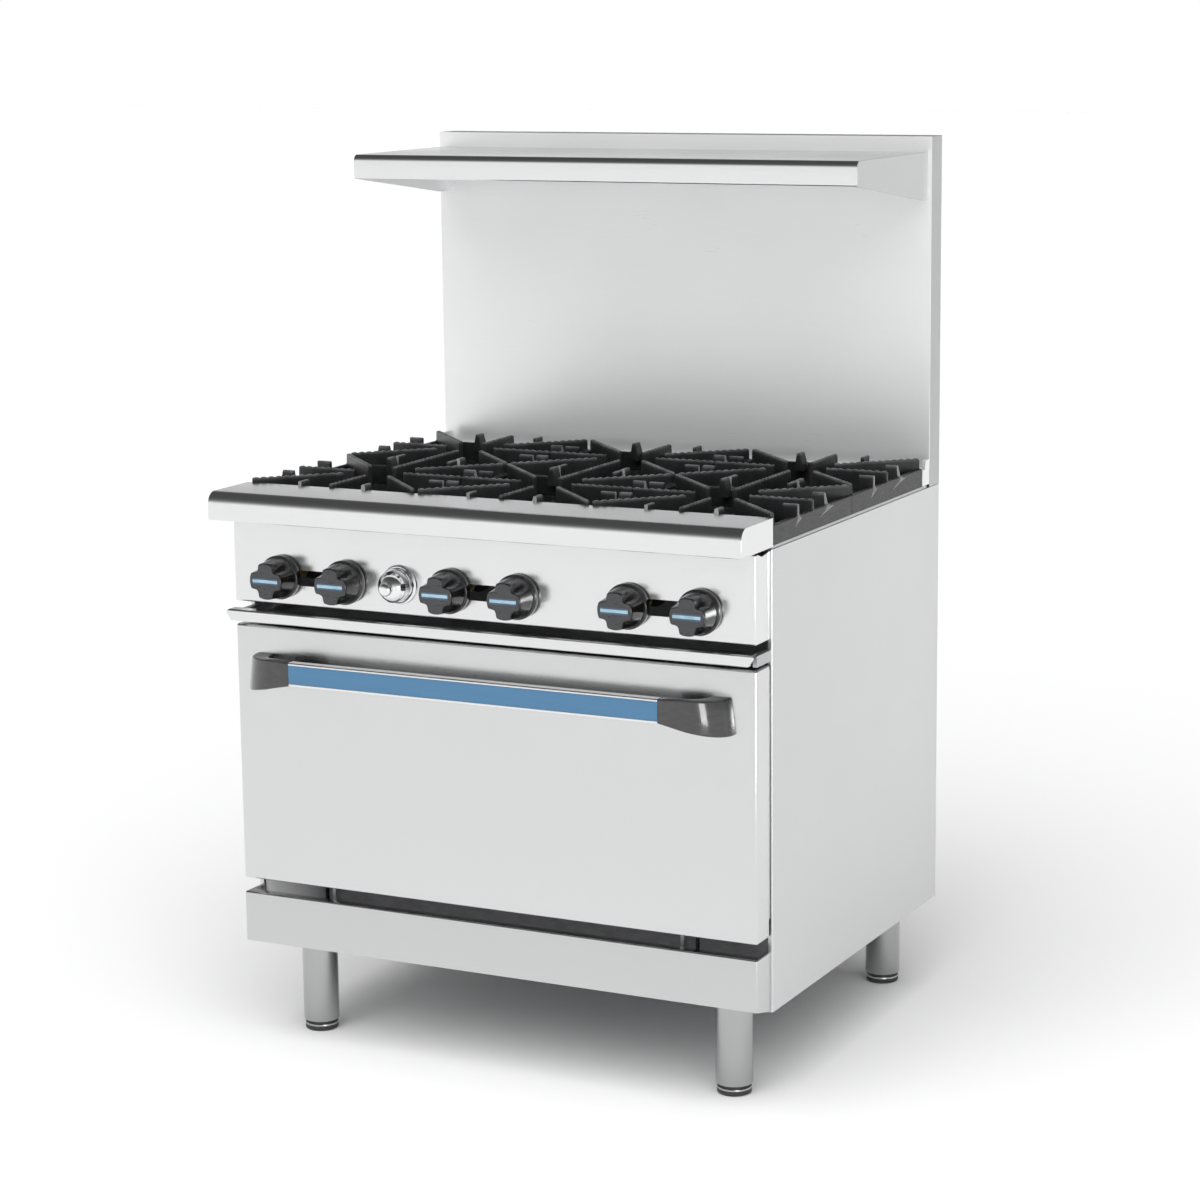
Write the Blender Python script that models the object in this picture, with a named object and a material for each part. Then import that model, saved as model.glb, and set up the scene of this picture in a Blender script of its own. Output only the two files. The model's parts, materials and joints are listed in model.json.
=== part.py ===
"""A six-burner commercial gas range with an oven, a back riser and a high shelf.

Metres, +Z up. The origin is the centre of the bounding box at the floor. +X is the right-hand side
as seen by the cook, and +Y points to the wall behind the range.
"""

import math

import bmesh
import bpy
from mathutils import Matrix, Vector

# Driving dimensions -------------------------------------------------------------------------------

WIDTH = 0.9144  # 36 inch body
DEPTH = 0.807  # from the ledge's nose to the back
HEIGHT = 1.437
LEG_HEIGHT = 0.152  # 6 inch legs

LEDGE_REACH = 0.112  # the ledge's nose, ahead of the side panels
FACE_REACH = 0.050  # the door, control panel and kick plate, ahead of the side panels
HANDLE_REACH = 0.060  # the handle bar, ahead of the door

SHEET = 0.0015
THIN = 0.0012
GAP = 0.0003  # between pieces that touch
HALF = WIDTH / 2
FRONT = -DEPTH / 2 + LEDGE_REACH  # front edge of the side panels
BACK = DEPTH / 2
FACE = FRONT - FACE_REACH

BODY_TOP = 0.863  # top edge of the side panels
KICK_BOTTOM = 0.164
KICK_TOP = 0.247
DOOR_BOTTOM = 0.270
DOOR_TOP = 0.690
DOOR_HALF = 0.4535
HANDLE_Z = 0.629
HANDLE_HEIGHT = 0.038
HANDLE_FRONT = FACE - HANDLE_REACH
HANDLE_DEPTH = 0.016
HANDLE_HALF = 0.320
INSERT_HEIGHT = 0.030
CAP_STRAIGHT = 0.032  # flat part of an end cap, in line with the bar
CAP_REACH = 0.092  # from the bar's end to the cap's upper corner
TRAY_BOTTOM = 0.694
TRAY_TOP = 0.712
TRAY_HALF = 0.4445
TRAY_NOSE_REACH = 0.020
TRAY_NOSE_BOTTOM = 0.6985
TRAY_NOSE_TOP = 0.7165
PANEL_BOTTOM = 0.727
PANEL_TOP = 0.8655
PANEL_HALF = 0.4525
LEDGE_BOTTOM = 0.866
LEDGE_TOP = 0.910
LEDGE_RADIUS = 0.023

HINGE_Y = FRONT - 0.020
HINGE_Z = 0.280
HINGE_X = 0.310
PIN_RADIUS = 0.004

BURNER_PITCH = 0.3048  # 12 inch grates
GRATE_GAP = 0.0010
ROW_START = FRONT + 0.005
COLUMNS = (-BURNER_PITCH, 0.0, BURNER_PITCH)
ROWS = (ROW_START + BURNER_PITCH / 2, ROW_START + BURNER_PITCH * 1.5)
GRATE_BOTTOM = 0.868
GRATE_FRAME_TOP = 0.8985
GRATE_TOP = 0.9165
BAR = 0.008
BURNER_SEAT = 0.748

KNOB_Z = 0.772
KNOB_SPREAD = 0.059  # each knob from its pair's centre
KNOB_DEPTH = 0.050
SHAFT_RADIUS = 0.004
OVEN_CONTROL_X = -0.149
OVEN_CONTROL_Z = 0.775

MANIFOLD_Y = FRONT - 0.008
MANIFOLD_Z = 0.812
MANIFOLD_RADIUS = 0.0167
MANIFOLD_SIDE_X = 0.415
VENTURI_RADIUS = 0.013

OVEN_HALF = 0.330
OVEN_REAR = FRONT + 0.600
OVEN_FLOOR = 0.2015
OVEN_TOP = 0.655
OVEN_SILL = 0.3115  # lower edge of the door opening
GUIDE_LEVELS = (0.370, 0.430, 0.490, 0.550)
GUIDE_WIDTH = 0.012
GUIDE_THICK = 0.0025
RACK_LEVEL = 0.430

RISER_FRONT = FRONT + 0.646
SHELF_FRONT = FRONT + 0.343
SHELF_TOP = 1.412
SHELF_EDGE_BOTTOM = 1.373
BRACKET_BOTTOM = 1.335
SHELF_HALF = 0.450
STRIP_TOP = 0.8955

LEG_X = 0.373
LEG_FRONT_Y = FRONT + 0.044
LEG_REAR_Y = FRONT + 0.663
LEG_SEGMENTS = 24


# Building blocks ----------------------------------------------------------------------------------


def clear_scene():
    for obj in list(bpy.data.objects):
        bpy.data.objects.remove(obj, do_unlink=True)


def material(name, color, roughness, metallic):
    made = bpy.data.materials.new(name)
    made.use_nodes = True
    shader = made.node_tree.nodes["Principled BSDF"]
    shader.inputs["Base Color"].default_value = (*color, 1.0)
    shader.inputs["Roughness"].default_value = roughness
    shader.inputs["Metallic"].default_value = metallic
    return made


def from_bmesh(name, bm):
    bmesh.ops.recalc_face_normals(bm, faces=bm.faces)
    mesh = bpy.data.meshes.new(name)
    bm.to_mesh(mesh)
    bm.free()
    obj = bpy.data.objects.new(name, mesh)
    bpy.context.scene.collection.objects.link(obj)
    return obj


def box(x, y, z):
    """A block between the two limits given for each axis."""
    bm = bmesh.new()
    bmesh.ops.create_cube(bm, size=1.0)
    for vert in bm.verts:
        for axis, (low, high) in enumerate((x, y, z)):
            vert.co[axis] = low if vert.co[axis] < 0 else high
    return from_bmesh("box", bm)


def prism(outline, axis, low, high):
    """A closed outline carried along an axis. It is (y, z) for X, (x, z) for Y and (x, y) for Z."""
    spread = {
        "X": lambda u, v, w: (w, u, v),
        "Y": lambda u, v, w: (u, w, v),
        "Z": lambda u, v, w: (u, v, w),
    }[axis]
    bm = bmesh.new()
    start = [bm.verts.new(spread(u, v, low)) for u, v in outline]
    end = [bm.verts.new(spread(u, v, high)) for u, v in outline]
    bm.faces.new(start)
    bm.faces.new(end)
    for i in range(len(outline)):
        j = (i + 1) % len(outline)
        bm.faces.new((start[i], start[j], end[j], end[i]))
    return from_bmesh("prism", bm)


def strip(path, thickness):
    """The outline of a bent sheet: the path is its outer skin, and the sheet lies to the path's left."""
    normals = []
    for (u0, v0), (u1, v1) in zip(path[:-1], path[1:]):
        length = math.hypot(u1 - u0, v1 - v0)
        normals.append(((v0 - v1) / length, (u1 - u0) / length))
    inner = []
    for i, (u, v) in enumerate(path):
        a = normals[max(i - 1, 0)]
        b = normals[min(i, len(normals) - 1)]
        scale = thickness / (1 + a[0] * b[0] + a[1] * b[1])
        inner.append((u + (a[0] + b[0]) * scale, v + (a[1] + b[1]) * scale))
    return list(path) + inner[::-1]


def arc(center, radius, start_deg, end_deg, steps):
    points = []
    for i in range(steps + 1):
        angle = math.radians(start_deg + (end_deg - start_deg) * i / steps)
        points.append((center[0] + radius * math.cos(angle), center[1] + radius * math.sin(angle)))
    return points


def lathe(profile, origin, axis, segments):
    """A profile of (radius, height) points turned about the axis through origin. Both ends are closed."""
    turn = Vector((0, 0, 1)).rotation_difference(Vector(axis)).to_matrix().to_4x4()
    turn = Matrix.Translation(origin) @ turn
    bm = bmesh.new()
    rings = []
    for radius, height in profile:
        ring = []
        for i in range(segments):
            angle = 2 * math.pi * i / segments
            point = Vector((radius * math.cos(angle), radius * math.sin(angle), height))
            ring.append(bm.verts.new(turn @ point))
        rings.append(ring)
    for lower, upper in zip(rings[:-1], rings[1:]):
        for i in range(segments):
            j = (i + 1) % segments
            bm.faces.new((lower[i], lower[j], upper[j], upper[i]))
    bm.faces.new(rings[0])
    bm.faces.new(rings[-1])
    return from_bmesh("lathe", bm)


def rod(start, end, radius, segments=16):
    """A straight round bar between two points."""
    along = Vector(end) - Vector(start)
    return lathe(((radius, 0), (radius, along.length)), Vector(start), along.normalized(), segments)


def pipe(points, radius, segments=12):
    """A round bar that follows a path with mitred corners."""
    points = [Vector(p) for p in points]
    bm = bmesh.new()
    rings = []
    directions = [(b - a).normalized() for a, b in zip(points[:-1], points[1:])]
    side = directions[0].orthogonal().normalized()
    circle = [
        points[0]
        + radius * math.cos(2 * math.pi * i / segments) * side
        + radius * math.sin(2 * math.pi * i / segments) * directions[0].cross(side)
        for i in range(segments)
    ]
    rings.append([bm.verts.new(p) for p in circle])
    for i, along in enumerate(directions):
        following = directions[min(i + 1, len(directions) - 1)]
        normal = (along + following).normalized()
        corner = points[i + 1]
        circle = [p + along * ((corner - p).dot(normal) / along.dot(normal)) for p in circle]
        rings.append([bm.verts.new(p) for p in circle])
    for lower, upper in zip(rings[:-1], rings[1:]):
        for i in range(segments):
            j = (i + 1) % segments
            bm.faces.new((lower[i], lower[j], upper[j], upper[i]))
    bm.faces.new(rings[0])
    bm.faces.new(rings[-1])
    return from_bmesh("pipe", bm)


def shape(name, solids, paint, cutters=(), origin=(0, 0, 0), parent=None, masks=()):
    """One named object: the solids joined, without the cutters, and only what lies inside the masks."""
    base = solids[0]
    for operation, others in (("UNION", solids[1:]), ("DIFFERENCE", cutters), ("INTERSECT", masks)):
        for other in others:
            modifier = base.modifiers.new(operation, "BOOLEAN")
            modifier.operation = operation
            modifier.solver = "EXACT"
            modifier.object = other
    bpy.context.view_layer.update()
    graph = bpy.context.evaluated_depsgraph_get()
    mesh = bpy.data.meshes.new_from_object(base.evaluated_get(graph))
    for used in (*solids, *cutters, *masks):
        bpy.data.objects.remove(used, do_unlink=True)
    mesh.name = name
    mesh.transform(Matrix.Translation(-Vector(origin)))
    mesh.materials.clear()
    mesh.materials.append(paint)
    mesh.shade_smooth()
    mesh.set_sharp_from_angle(angle=math.radians(35))
    obj = bpy.data.objects.new(name, mesh)
    bpy.context.scene.collection.objects.link(obj)
    obj.location = origin
    if parent:
        obj.parent = parent
        obj.location = Vector(origin) - parent.location
    return obj


def mirrored(outline):
    """The same outline on the other side of u = 0."""
    return [(-u, v) for u, v in outline]


def sides(points, side):
    return points if side > 0 else mirrored(points)


def span(side, low, high):
    """X limits on the right (side 1) or mirrored to the left (side -1)."""
    return (low, high) if side > 0 else (-high, -low)


# Body ---------------------------------------------------------------------------------------------


def side_panels(steel):
    front_return, rear_return = 0.008, 0.015
    for name, side in (("side_panel_left", -1), ("side_panel_right", 1)):
        path = [
            (HALF - rear_return, BACK - SHEET - GAP),
            (HALF, BACK - SHEET - GAP),
            (HALF, FRONT),
            (HALF - front_return, FRONT),
        ]
        outline = strip(path[::-1], SHEET)
        shape(name, [prism(sides(outline, side), "Z", LEG_HEIGHT, BODY_TOP)], steel)


def back_panel(galvanised):
    plate = box((-HALF + THIN, HALF - THIN), (BACK - THIN, BACK), (LEG_HEIGHT, BODY_TOP - 0.002))
    inlet = rod(
        (MANIFOLD_SIDE_X, BACK - 0.02, MANIFOLD_Z),
        (MANIFOLD_SIDE_X, BACK + 0.02, MANIFOLD_Z),
        MANIFOLD_RADIUS + 0.006,
        24,
    )
    shape("back_panel", [plate], galvanised, [inlet])


def base_frame(galvanised):
    """A welded tray with a kerb round its window, which carries the legs and the oven."""
    height, rim = 0.025, 0.0025
    low = LEG_HEIGHT + GAP
    outer_x = HALF - SHEET - 0.001
    inner_x = outer_x - 0.125
    y0, y1 = FRONT + 0.002, BACK - 0.004
    window_y0, window_y1 = y0 + 0.100, y1 - 0.100
    tray = box((-outer_x, outer_x), (y0, y1), (low, low + height))
    trough = box((-outer_x + rim, outer_x - rim), (y0 + rim, y1 - rim), (low + rim, low + height + 0.01))
    floor = shape("floor", [tray], galvanised, [trough])
    kerb = box(
        (-inner_x - rim, inner_x + rim),
        (window_y0 - rim, window_y1 + rim),
        (low + rim / 2, low + height),
    )
    window = box((-inner_x, inner_x), (window_y0, window_y1), (low - 0.01, low + height + 0.01))
    shape("base_frame", [floor, kerb], galvanised, [window])


def legs_and_feet(steel, rubber):
    radius, bore, collar, foot_top = 0.029, 0.0272, 0.0315, 0.0165
    tube = [
        (radius, foot_top),
        (radius, LEG_HEIGHT - 0.004),
        (collar, LEG_HEIGHT - 0.003),
        (collar, LEG_HEIGHT),
    ]
    foot = [
        (0.0245, 0.0),
        (0.0272, 0.0025),
        (0.0272, 0.0085),
        (0.0265, 0.0095),
        (0.0265, 0.0140),
        (0.0255, foot_top - GAP),
        (0.0255, 0.055),
    ]
    corners = (
        ("front_left", -LEG_X, LEG_FRONT_Y),
        ("front_right", LEG_X, LEG_FRONT_Y),
        ("rear_left", -LEG_X, LEG_REAR_Y),
        ("rear_right", LEG_X, LEG_REAR_Y),
    )
    for corner, x, y in corners:
        hollow = rod((x, y, 0), (x, y, LEG_HEIGHT - 0.006), bore, LEG_SEGMENTS)
        body = lathe(tube, (x, y, 0), (0, 0, 1), LEG_SEGMENTS)
        shape("leg_" + corner, [body], steel, [hollow], (x, y, 0))
        plug = lathe(foot, (x, y, 0), (0, 0, 1), LEG_SEGMENTS)
        shape("foot_" + corner, [plug], rubber, (), (x, y, 0))


def kick_plate(steel):
    half = DOOR_HALF
    path = [(-half, FRONT - GAP), (-half, FACE), (half, FACE), (half, FRONT - GAP)]
    wrap = prism(strip(path, SHEET), "Z", LEG_HEIGHT - 0.001, KICK_TOP)
    top_return = box(
        (-half + SHEET / 2, half - SHEET / 2),
        (FACE + SHEET / 2, FACE + 0.018),
        (KICK_TOP - SHEET, KICK_TOP),
    )
    below = [
        (FACE - 0.01, LEG_HEIGHT - 0.02),
        (FRONT + 0.01, LEG_HEIGHT - 0.02),
        (FRONT + 0.01, LEG_HEIGHT - 0.001),
        (FRONT, LEG_HEIGHT),
        (FACE + 0.002, KICK_BOTTOM),
        (FACE - 0.01, KICK_BOTTOM),
    ]
    shape("kick_plate", [wrap, top_return], steel, [prism(below, "X", -HALF, HALF)])


# Oven ---------------------------------------------------------------------------------------------


def oven_liner(enamel):
    half, sheet = OVEN_HALF, SHEET
    front, rear = FRONT - 0.0005, OVEN_REAR
    outer = box(
        (-half - sheet, half + sheet),
        (front, rear + sheet),
        (OVEN_FLOOR - sheet, OVEN_TOP + sheet),
    )
    inside = box((-half, half), (front - 0.01, rear), (OVEN_FLOOR, OVEN_TOP))
    shell = shape("shell", [outer], enamel, [inside])
    flange = box(
        (-DOOR_HALF + 0.005, DOOR_HALF - 0.005),
        (FRONT - 0.002, FRONT + sheet),
        (DOOR_BOTTOM + 0.002, DOOR_TOP - GAP),
    )
    mouth = box((-half, half), (FRONT - 0.01, FRONT + 0.01), (OVEN_SILL, OVEN_TOP))
    frame = shape("frame", [flange], enamel, [mouth])
    guides = []
    for side in (-1, 1):
        for level in (OVEN_SILL - 0.004, *GUIDE_LEVELS):
            guides.append(
                box(
                    span(side, half - GUIDE_WIDTH, half + sheet / 2),
                    (FRONT + 0.020, rear - 0.030),
                    (level - GUIDE_THICK, level),
                )
            )
    shape("oven_liner", [shell, frame, *guides], enamel)


def oven_deck(enamel):
    low = OVEN_SILL - 0.004 + GAP
    half = OVEN_HALF - 0.003
    plate = box((-half, half), (FRONT + 0.016, OVEN_REAR - 0.020), (low, low + 0.002))
    slots = []
    for side in (-1, 1):
        for index in range(4):
            y = FRONT + 0.080 + index * 0.120
            slots.append(box(span(side, 0.285, 0.300), (y, y + 0.080), (low - 0.01, low + 0.01)))
    shape("oven_deck", [plate], enamel, slots)


def oven_rack(chrome):
    wire, rail = 0.003, 0.005
    half = OVEN_HALF - 0.004
    y0, y1 = FRONT + 0.050, OVEN_REAR - 0.025
    z = RACK_LEVEL + GAP
    inset = 0.001
    rail_z = (z + inset / 2, z + rail - inset / 2)
    rails = [
        box((-half, half), (y0, y0 + rail), (z, z + rail)),
        box((-half, half), (y1 - rail, y1), (z, z + rail)),
        box((-half, -half + rail), (y0 + inset, y1 - inset), rail_z),
        box((half - rail, half), (y0 + inset, y1 - inset), rail_z),
    ]
    count = 13
    for index in range(count):
        x = (index - (count - 1) / 2) * (2 * half - 0.040) / (count - 1)
        width = (x - wire / 2, x + wire / 2)
        rails.append(box(width, (y0 + 2 * inset, y1 - 2 * inset), (z + inset, z + inset + wire)))
    shape("oven_rack", rails, chrome, (), (0, (y0 + y1) / 2, z))


def oven_burner(iron):
    z = 0.245
    tube = pipe([(0, FRONT + 0.030, z), (0, FRONT + 0.470, z)], 0.024, 20)
    flare = lathe(((0.034, 0), (0.034, 0.006), (0.024, 0.020)), (0, FRONT + 0.026, z), (0, 1, 0), 20)
    feet = [
        box((-0.012, 0.012), (y, y + 0.004), (OVEN_FLOOR + GAP, z))
        for y in (FRONT + 0.110, FRONT + 0.400)
    ]
    throat = rod((0, FRONT + 0.010, z), (0, FRONT + 0.440, z), 0.018, 20)
    shape("oven_burner", [tube, flare, *feet], iron, [throat])


# Door ---------------------------------------------------------------------------------------------


def door_outer_panel(steel, pivot):
    depth_rear = FRONT - 0.0060
    outer = box((-DOOR_HALF, DOOR_HALF), (FACE, depth_rear), (DOOR_BOTTOM, DOOR_TOP))
    inner = box(
        (-DOOR_HALF + SHEET, DOOR_HALF - SHEET),
        (FACE + SHEET, depth_rear + 0.01),
        (DOOR_BOTTOM + SHEET, DOOR_TOP - SHEET),
    )
    slots = []
    for side in (-1, 1):
        slots.append(
            box(
                span(side, HINGE_X - 0.0055, HINGE_X + 0.0055),
                (HINGE_Y - 0.012, FRONT),
                (DOOR_BOTTOM - 0.01, DOOR_BOTTOM + 0.004),
            )
        )
    shape("door_outer_panel", [outer], steel, [inner, *slots], pivot.location, pivot)


def door_inner_panel(enamel, pivot):
    rear = FRONT - 0.008
    sheet = SHEET
    half = DOOR_HALF - 0.004
    plate = box((-half, half), (rear - sheet, rear), (DOOR_BOTTOM + 0.0025, DOOR_TOP - 0.0045))
    plug_half, plug_low, plug_high, plug_rear = 0.318, 0.326, 0.645, FRONT + 0.010
    plug = box((-plug_half, plug_half), (rear - sheet / 2, plug_rear), (plug_low, plug_high))
    dish = box(
        (-plug_half + sheet, plug_half - sheet),
        (rear - 0.02, plug_rear - sheet),
        (plug_low + sheet, plug_high - sheet),
    )
    ears, cuts = [], [dish]
    for side in (-1, 1):
        for offset in (-0.010, 0.010):
            x = HINGE_X + offset
            ears.append(
                box(
                    span(side, x - 0.0025, x + 0.0025),
                    (HINGE_Y - 0.009, rear - sheet / 2),
                    (HINGE_Z - 0.0065, HINGE_Z + 0.022),
                )
            )
        cuts.append(
            box(
                span(side, HINGE_X - 0.0045, HINGE_X + 0.0045),
                (rear - 0.01, rear + 0.01),
                (DOOR_BOTTOM - 0.01, HINGE_Z + 0.014),
            )
        )
        cuts.append(
            rod(
                (side * (HINGE_X - 0.02), HINGE_Y, HINGE_Z),
                (side * (HINGE_X + 0.02), HINGE_Y, HINGE_Z),
                PIN_RADIUS + 0.0005,
                24,
            )
        )
    shape("door_inner_panel", [plate, plug, *ears], enamel, cuts, pivot.location, pivot)


def door_hinges(galvanised):
    """Brackets bolted to the base frame. Each carries the pin that the door's ears turn on."""
    nose = 0.007
    outline = [
        (FRONT + 0.0017, LEG_HEIGHT + 0.004),
        (FRONT + 0.0017, LEG_HEIGHT + 0.024),
        (FRONT - 0.0008, LEG_HEIGHT + 0.028),
        (FRONT - 0.0008, DOOR_BOTTOM - 0.004),
        (FRONT - 0.0035, DOOR_BOTTOM),
        (FRONT - 0.0035, HINGE_Z + nose),
        *arc((HINGE_Y, HINGE_Z), nose, 90, 270, 8),
        (FRONT - 0.0085, HINGE_Z - nose),
        (FRONT - 0.0085, LEG_HEIGHT + 0.004),
    ]
    for name, side in (("door_hinge_left", -1), ("door_hinge_right", 1)):
        plate = prism(outline, "X", *span(side, HINGE_X - 0.0025, HINGE_X + 0.0025))
        foot = box(
            span(side, HINGE_X - 0.020, HINGE_X + 0.002),
            (FRONT - 0.0013, FRONT + 0.0017),
            (LEG_HEIGHT + 0.004, LEG_HEIGHT + 0.022),
        )
        pin = rod(
            (side * (HINGE_X - 0.016), HINGE_Y, HINGE_Z),
            (side * (HINGE_X + 0.016), HINGE_Y, HINGE_Z),
            PIN_RADIUS,
            24,
        )
        shape(name, [plate, foot, pin], galvanised, (), (side * HINGE_X, HINGE_Y, HINGE_Z))


def door_handle(steel, blue, pivot):
    low, high = HANDLE_Z - HANDLE_HEIGHT / 2, HANDLE_Z + HANDLE_HEIGHT / 2
    rear = HANDLE_FRONT + HANDLE_DEPTH
    lip = (HANDLE_HEIGHT - INSERT_HEIGHT) / 2
    recess, corner, edge = 0.002, 0.003, 0.001
    outline = [
        (rear - corner, low),
        (rear, low + corner),
        (rear, high - corner),
        (rear - corner, high),
        (HANDLE_FRONT + edge, high),
        (HANDLE_FRONT, high - edge),
        (HANDLE_FRONT, high - lip),
        (HANDLE_FRONT + recess, high - lip),
        (HANDLE_FRONT + recess, low + lip),
        (HANDLE_FRONT, low + lip),
        (HANDLE_FRONT, low + edge),
        (HANDLE_FRONT + edge, low),
    ]
    bar = prism(outline, "X", -HANDLE_HALF + GAP, HANDLE_HALF - GAP)
    shape("door_handle_bar", [bar], steel, (), pivot.location, pivot)
    insert = box(
        (-HANDLE_HALF + GAP, HANDLE_HALF - GAP),
        (HANDLE_FRONT + 0.0002, HANDLE_FRONT + recess - GAP),
        (low + lip + GAP, high - lip - GAP),
    )
    shape("door_handle_insert", [insert], blue, (), pivot.location, pivot)


def quarter_ellipse(center_x, reach_x, reach_y, steps):
    """Plan points that turn from a handle's front face back to the door."""
    points = []
    for index in range(steps + 1):
        angle = math.radians(90 * index / steps)
        points.append((center_x + reach_x * math.sin(angle), FACE - GAP - reach_y * math.cos(angle)))
    return points


def handle_caps(grey_plastic, pivot):
    """End caps that curve from the bar back to the door and flare as they go."""
    low, high = HANDLE_Z - HANDLE_HEIGHT / 2, HANDLE_Z + HANDLE_HEIGHT / 2
    foot_thick = 0.030
    bow = (0.0336, -0.0266)  # how the outer end bows out below its upper corner
    turn_x = HANDLE_HALF + CAP_STRAIGHT
    reach_x, reach_y = CAP_REACH + 0.0120 - CAP_STRAIGHT, HANDLE_REACH - GAP
    plan = [(HANDLE_HALF, HANDLE_FRONT)]
    plan += quarter_ellipse(turn_x, reach_x, reach_y, 10)
    plan += quarter_ellipse(turn_x, reach_x - foot_thick, reach_y - HANDLE_DEPTH, 8)[::-1]
    plan += [(HANDLE_HALF, HANDLE_FRONT + HANDLE_DEPTH)]

    door_high, door_low = high - 0.0015, low - 0.020
    end_x = HANDLE_HALF + CAP_REACH
    face = [(HANDLE_HALF - 0.01, high), (HANDLE_HALF, high), (HANDLE_HALF + CAP_STRAIGHT, high + 0.002)]
    for index in range(9):
        share = index / 8
        out = bow[0] * share + bow[1] * share**2
        face.append((end_x + out, door_high + (door_low - door_high) * share))
    for index in range(1, 6):
        share = index / 6
        face.append(
            (
                end_x + bow[0] + bow[1] + (HANDLE_HALF - end_x - bow[0] - bow[1]) * share,
                door_low + (low - door_low) * share**1.7,
            )
        )
    face += [(HANDLE_HALF, low), (HANDLE_HALF - 0.01, low)]
    for name, side in (("handle_cap_left", -1), ("handle_cap_right", 1)):
        body = prism(sides(plan, side), "Z", door_low - 0.01, high + 0.01)
        flare = prism(sides(face, side), "Y", HANDLE_FRONT - 0.01, FACE + 0.01)
        shape(name, [body], grey_plastic, (), pivot.location, pivot, [flare])


# Cooking top --------------------------------------------------------------------------------------


def control_panel(steel):
    path = [
        (FRONT - 0.012, PANEL_BOTTOM),
        (FACE, PANEL_BOTTOM),
        (FACE, PANEL_TOP - 0.003),
        (FACE + 0.020, PANEL_TOP - 0.003),
    ]
    wrap = prism(strip(path[::-1], SHEET), "X", -PANEL_HALF + 0.0005, PANEL_HALF - 0.0005)
    cheek = [
        (FACE + SHEET / 2, PANEL_BOTTOM),
        (FRONT - GAP, PANEL_BOTTOM),
        (FRONT - GAP, PANEL_TOP),
        (FRONT - 0.030, PANEL_TOP),
        (FRONT - 0.034, PANEL_TOP - 0.009),
        (FACE + SHEET / 2, PANEL_TOP - 0.0045),
    ]
    cheeks = [prism(cheek, "X", *span(side, PANEL_HALF - SHEET, PANEL_HALF)) for side in (-1, 1)]
    cuts = []
    for column in COLUMNS:
        cuts.append(
            box(
                (column - KNOB_SPREAD + 0.015, column + KNOB_SPREAD - 0.015),
                (FACE - 0.01, FACE + 0.01),
                (KNOB_Z - 0.0125, KNOB_Z + 0.0125),
            )
        )
        for side in (-1, 1):
            x = column + side * KNOB_SPREAD
            cuts.append(rod((x, FACE - 0.01, KNOB_Z), (x, FACE + 0.01, KNOB_Z), 0.0065, 12))
    x, z = OVEN_CONTROL_X, OVEN_CONTROL_Z
    cuts.append(rod((x, FACE - 0.01, z), (x, FACE + 0.01, z), 0.011, 20))
    shape("control_panel", [wrap, *cheeks], steel, cuts)


def front_ledge(steel):
    nose = FRONT - LEDGE_REACH
    corner = arc((nose + LEDGE_RADIUS, LEDGE_TOP - LEDGE_RADIUS), LEDGE_RADIUS, 90, 180, 9)
    path = [(FRONT + 0.003, LEDGE_TOP), *corner, (nose, LEDGE_BOTTOM), (nose + 0.045, LEDGE_BOTTOM)]
    skin = prism(strip(path, SHEET), "X", -HALF, HALF)
    end = [(FRONT + 0.003, LEDGE_TOP - 0.0004)]
    end += [(u + 0.0004, v - 0.0004) for u, v in corner]
    end += [(nose + 0.0004, LEDGE_BOTTOM + 0.0001), (FRONT + 0.003, LEDGE_BOTTOM + 0.0001)]
    ends = [prism(end, "X", *span(side, HALF - SHEET, HALF - 0.0001)) for side in (-1, 1)]
    shape("front_ledge", [skin, *ends], steel)


def burner_box(galvanised):
    """The welded frame under the grates: side walls, rails for the burners, and the tray's runners."""
    wall, half = 0.002, HALF - SHEET - GAP
    inner = half - wall / 2
    y0, y1 = FRONT + 0.004, FRONT + 0.640
    top = GRATE_BOTTOM - GAP
    runner_z = (TRAY_BOTTOM + 0.0005, TRAY_TOP - 0.0005)
    solids = []
    for side in (-1, 1):
        x = side * BURNER_PITCH / 2
        solids += [
            box(span(side, half - wall, half), (y0, y1), (TRAY_BOTTOM + 0.001, top)),
            box(
                span(side, TRAY_HALF - 0.020, inner),
                (y0, y1 - 0.020),
                (TRAY_BOTTOM + 0.0015, TRAY_BOTTOM + 0.0035),
            ),
            box(span(side, TRAY_HALF + 0.002, DOOR_HALF), (FACE + SHEET, FRONT - GAP), runner_z),
            box(span(side, TRAY_HALF + 0.002, 0.4487), (FRONT - 0.001, FRONT + 0.010), runner_z),
            box(span(side, TRAY_HALF + 0.002, inner), (FRONT + 0.005, FRONT + 0.010), runner_z),
            box((x - 0.010, x + 0.010), (y0, y1), (top - 0.030, top)),
        ]
    solids += [
        box((-inner, inner), (y0 - 0.0005, y0 + 0.010), (top - 0.028, top - 0.0005)),
        box((-inner, inner), (y1 - 0.004, y1 + 0.0005), (TRAY_TOP + 0.010, top - 0.0005)),
    ]
    for row in ROWS:
        solids.append(
            box((-inner, inner), (row - 0.020, row + 0.020), (BURNER_SEAT - 0.003, BURNER_SEAT))
        )
    inlet = rod(
        (MANIFOLD_SIDE_X, y1 - 0.02, MANIFOLD_Z),
        (MANIFOLD_SIDE_X, y1 + 0.02, MANIFOLD_Z),
        MANIFOLD_RADIUS + 0.004,
        24,
    )
    shape("burner_box", solids, galvanised, [inlet])


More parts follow.
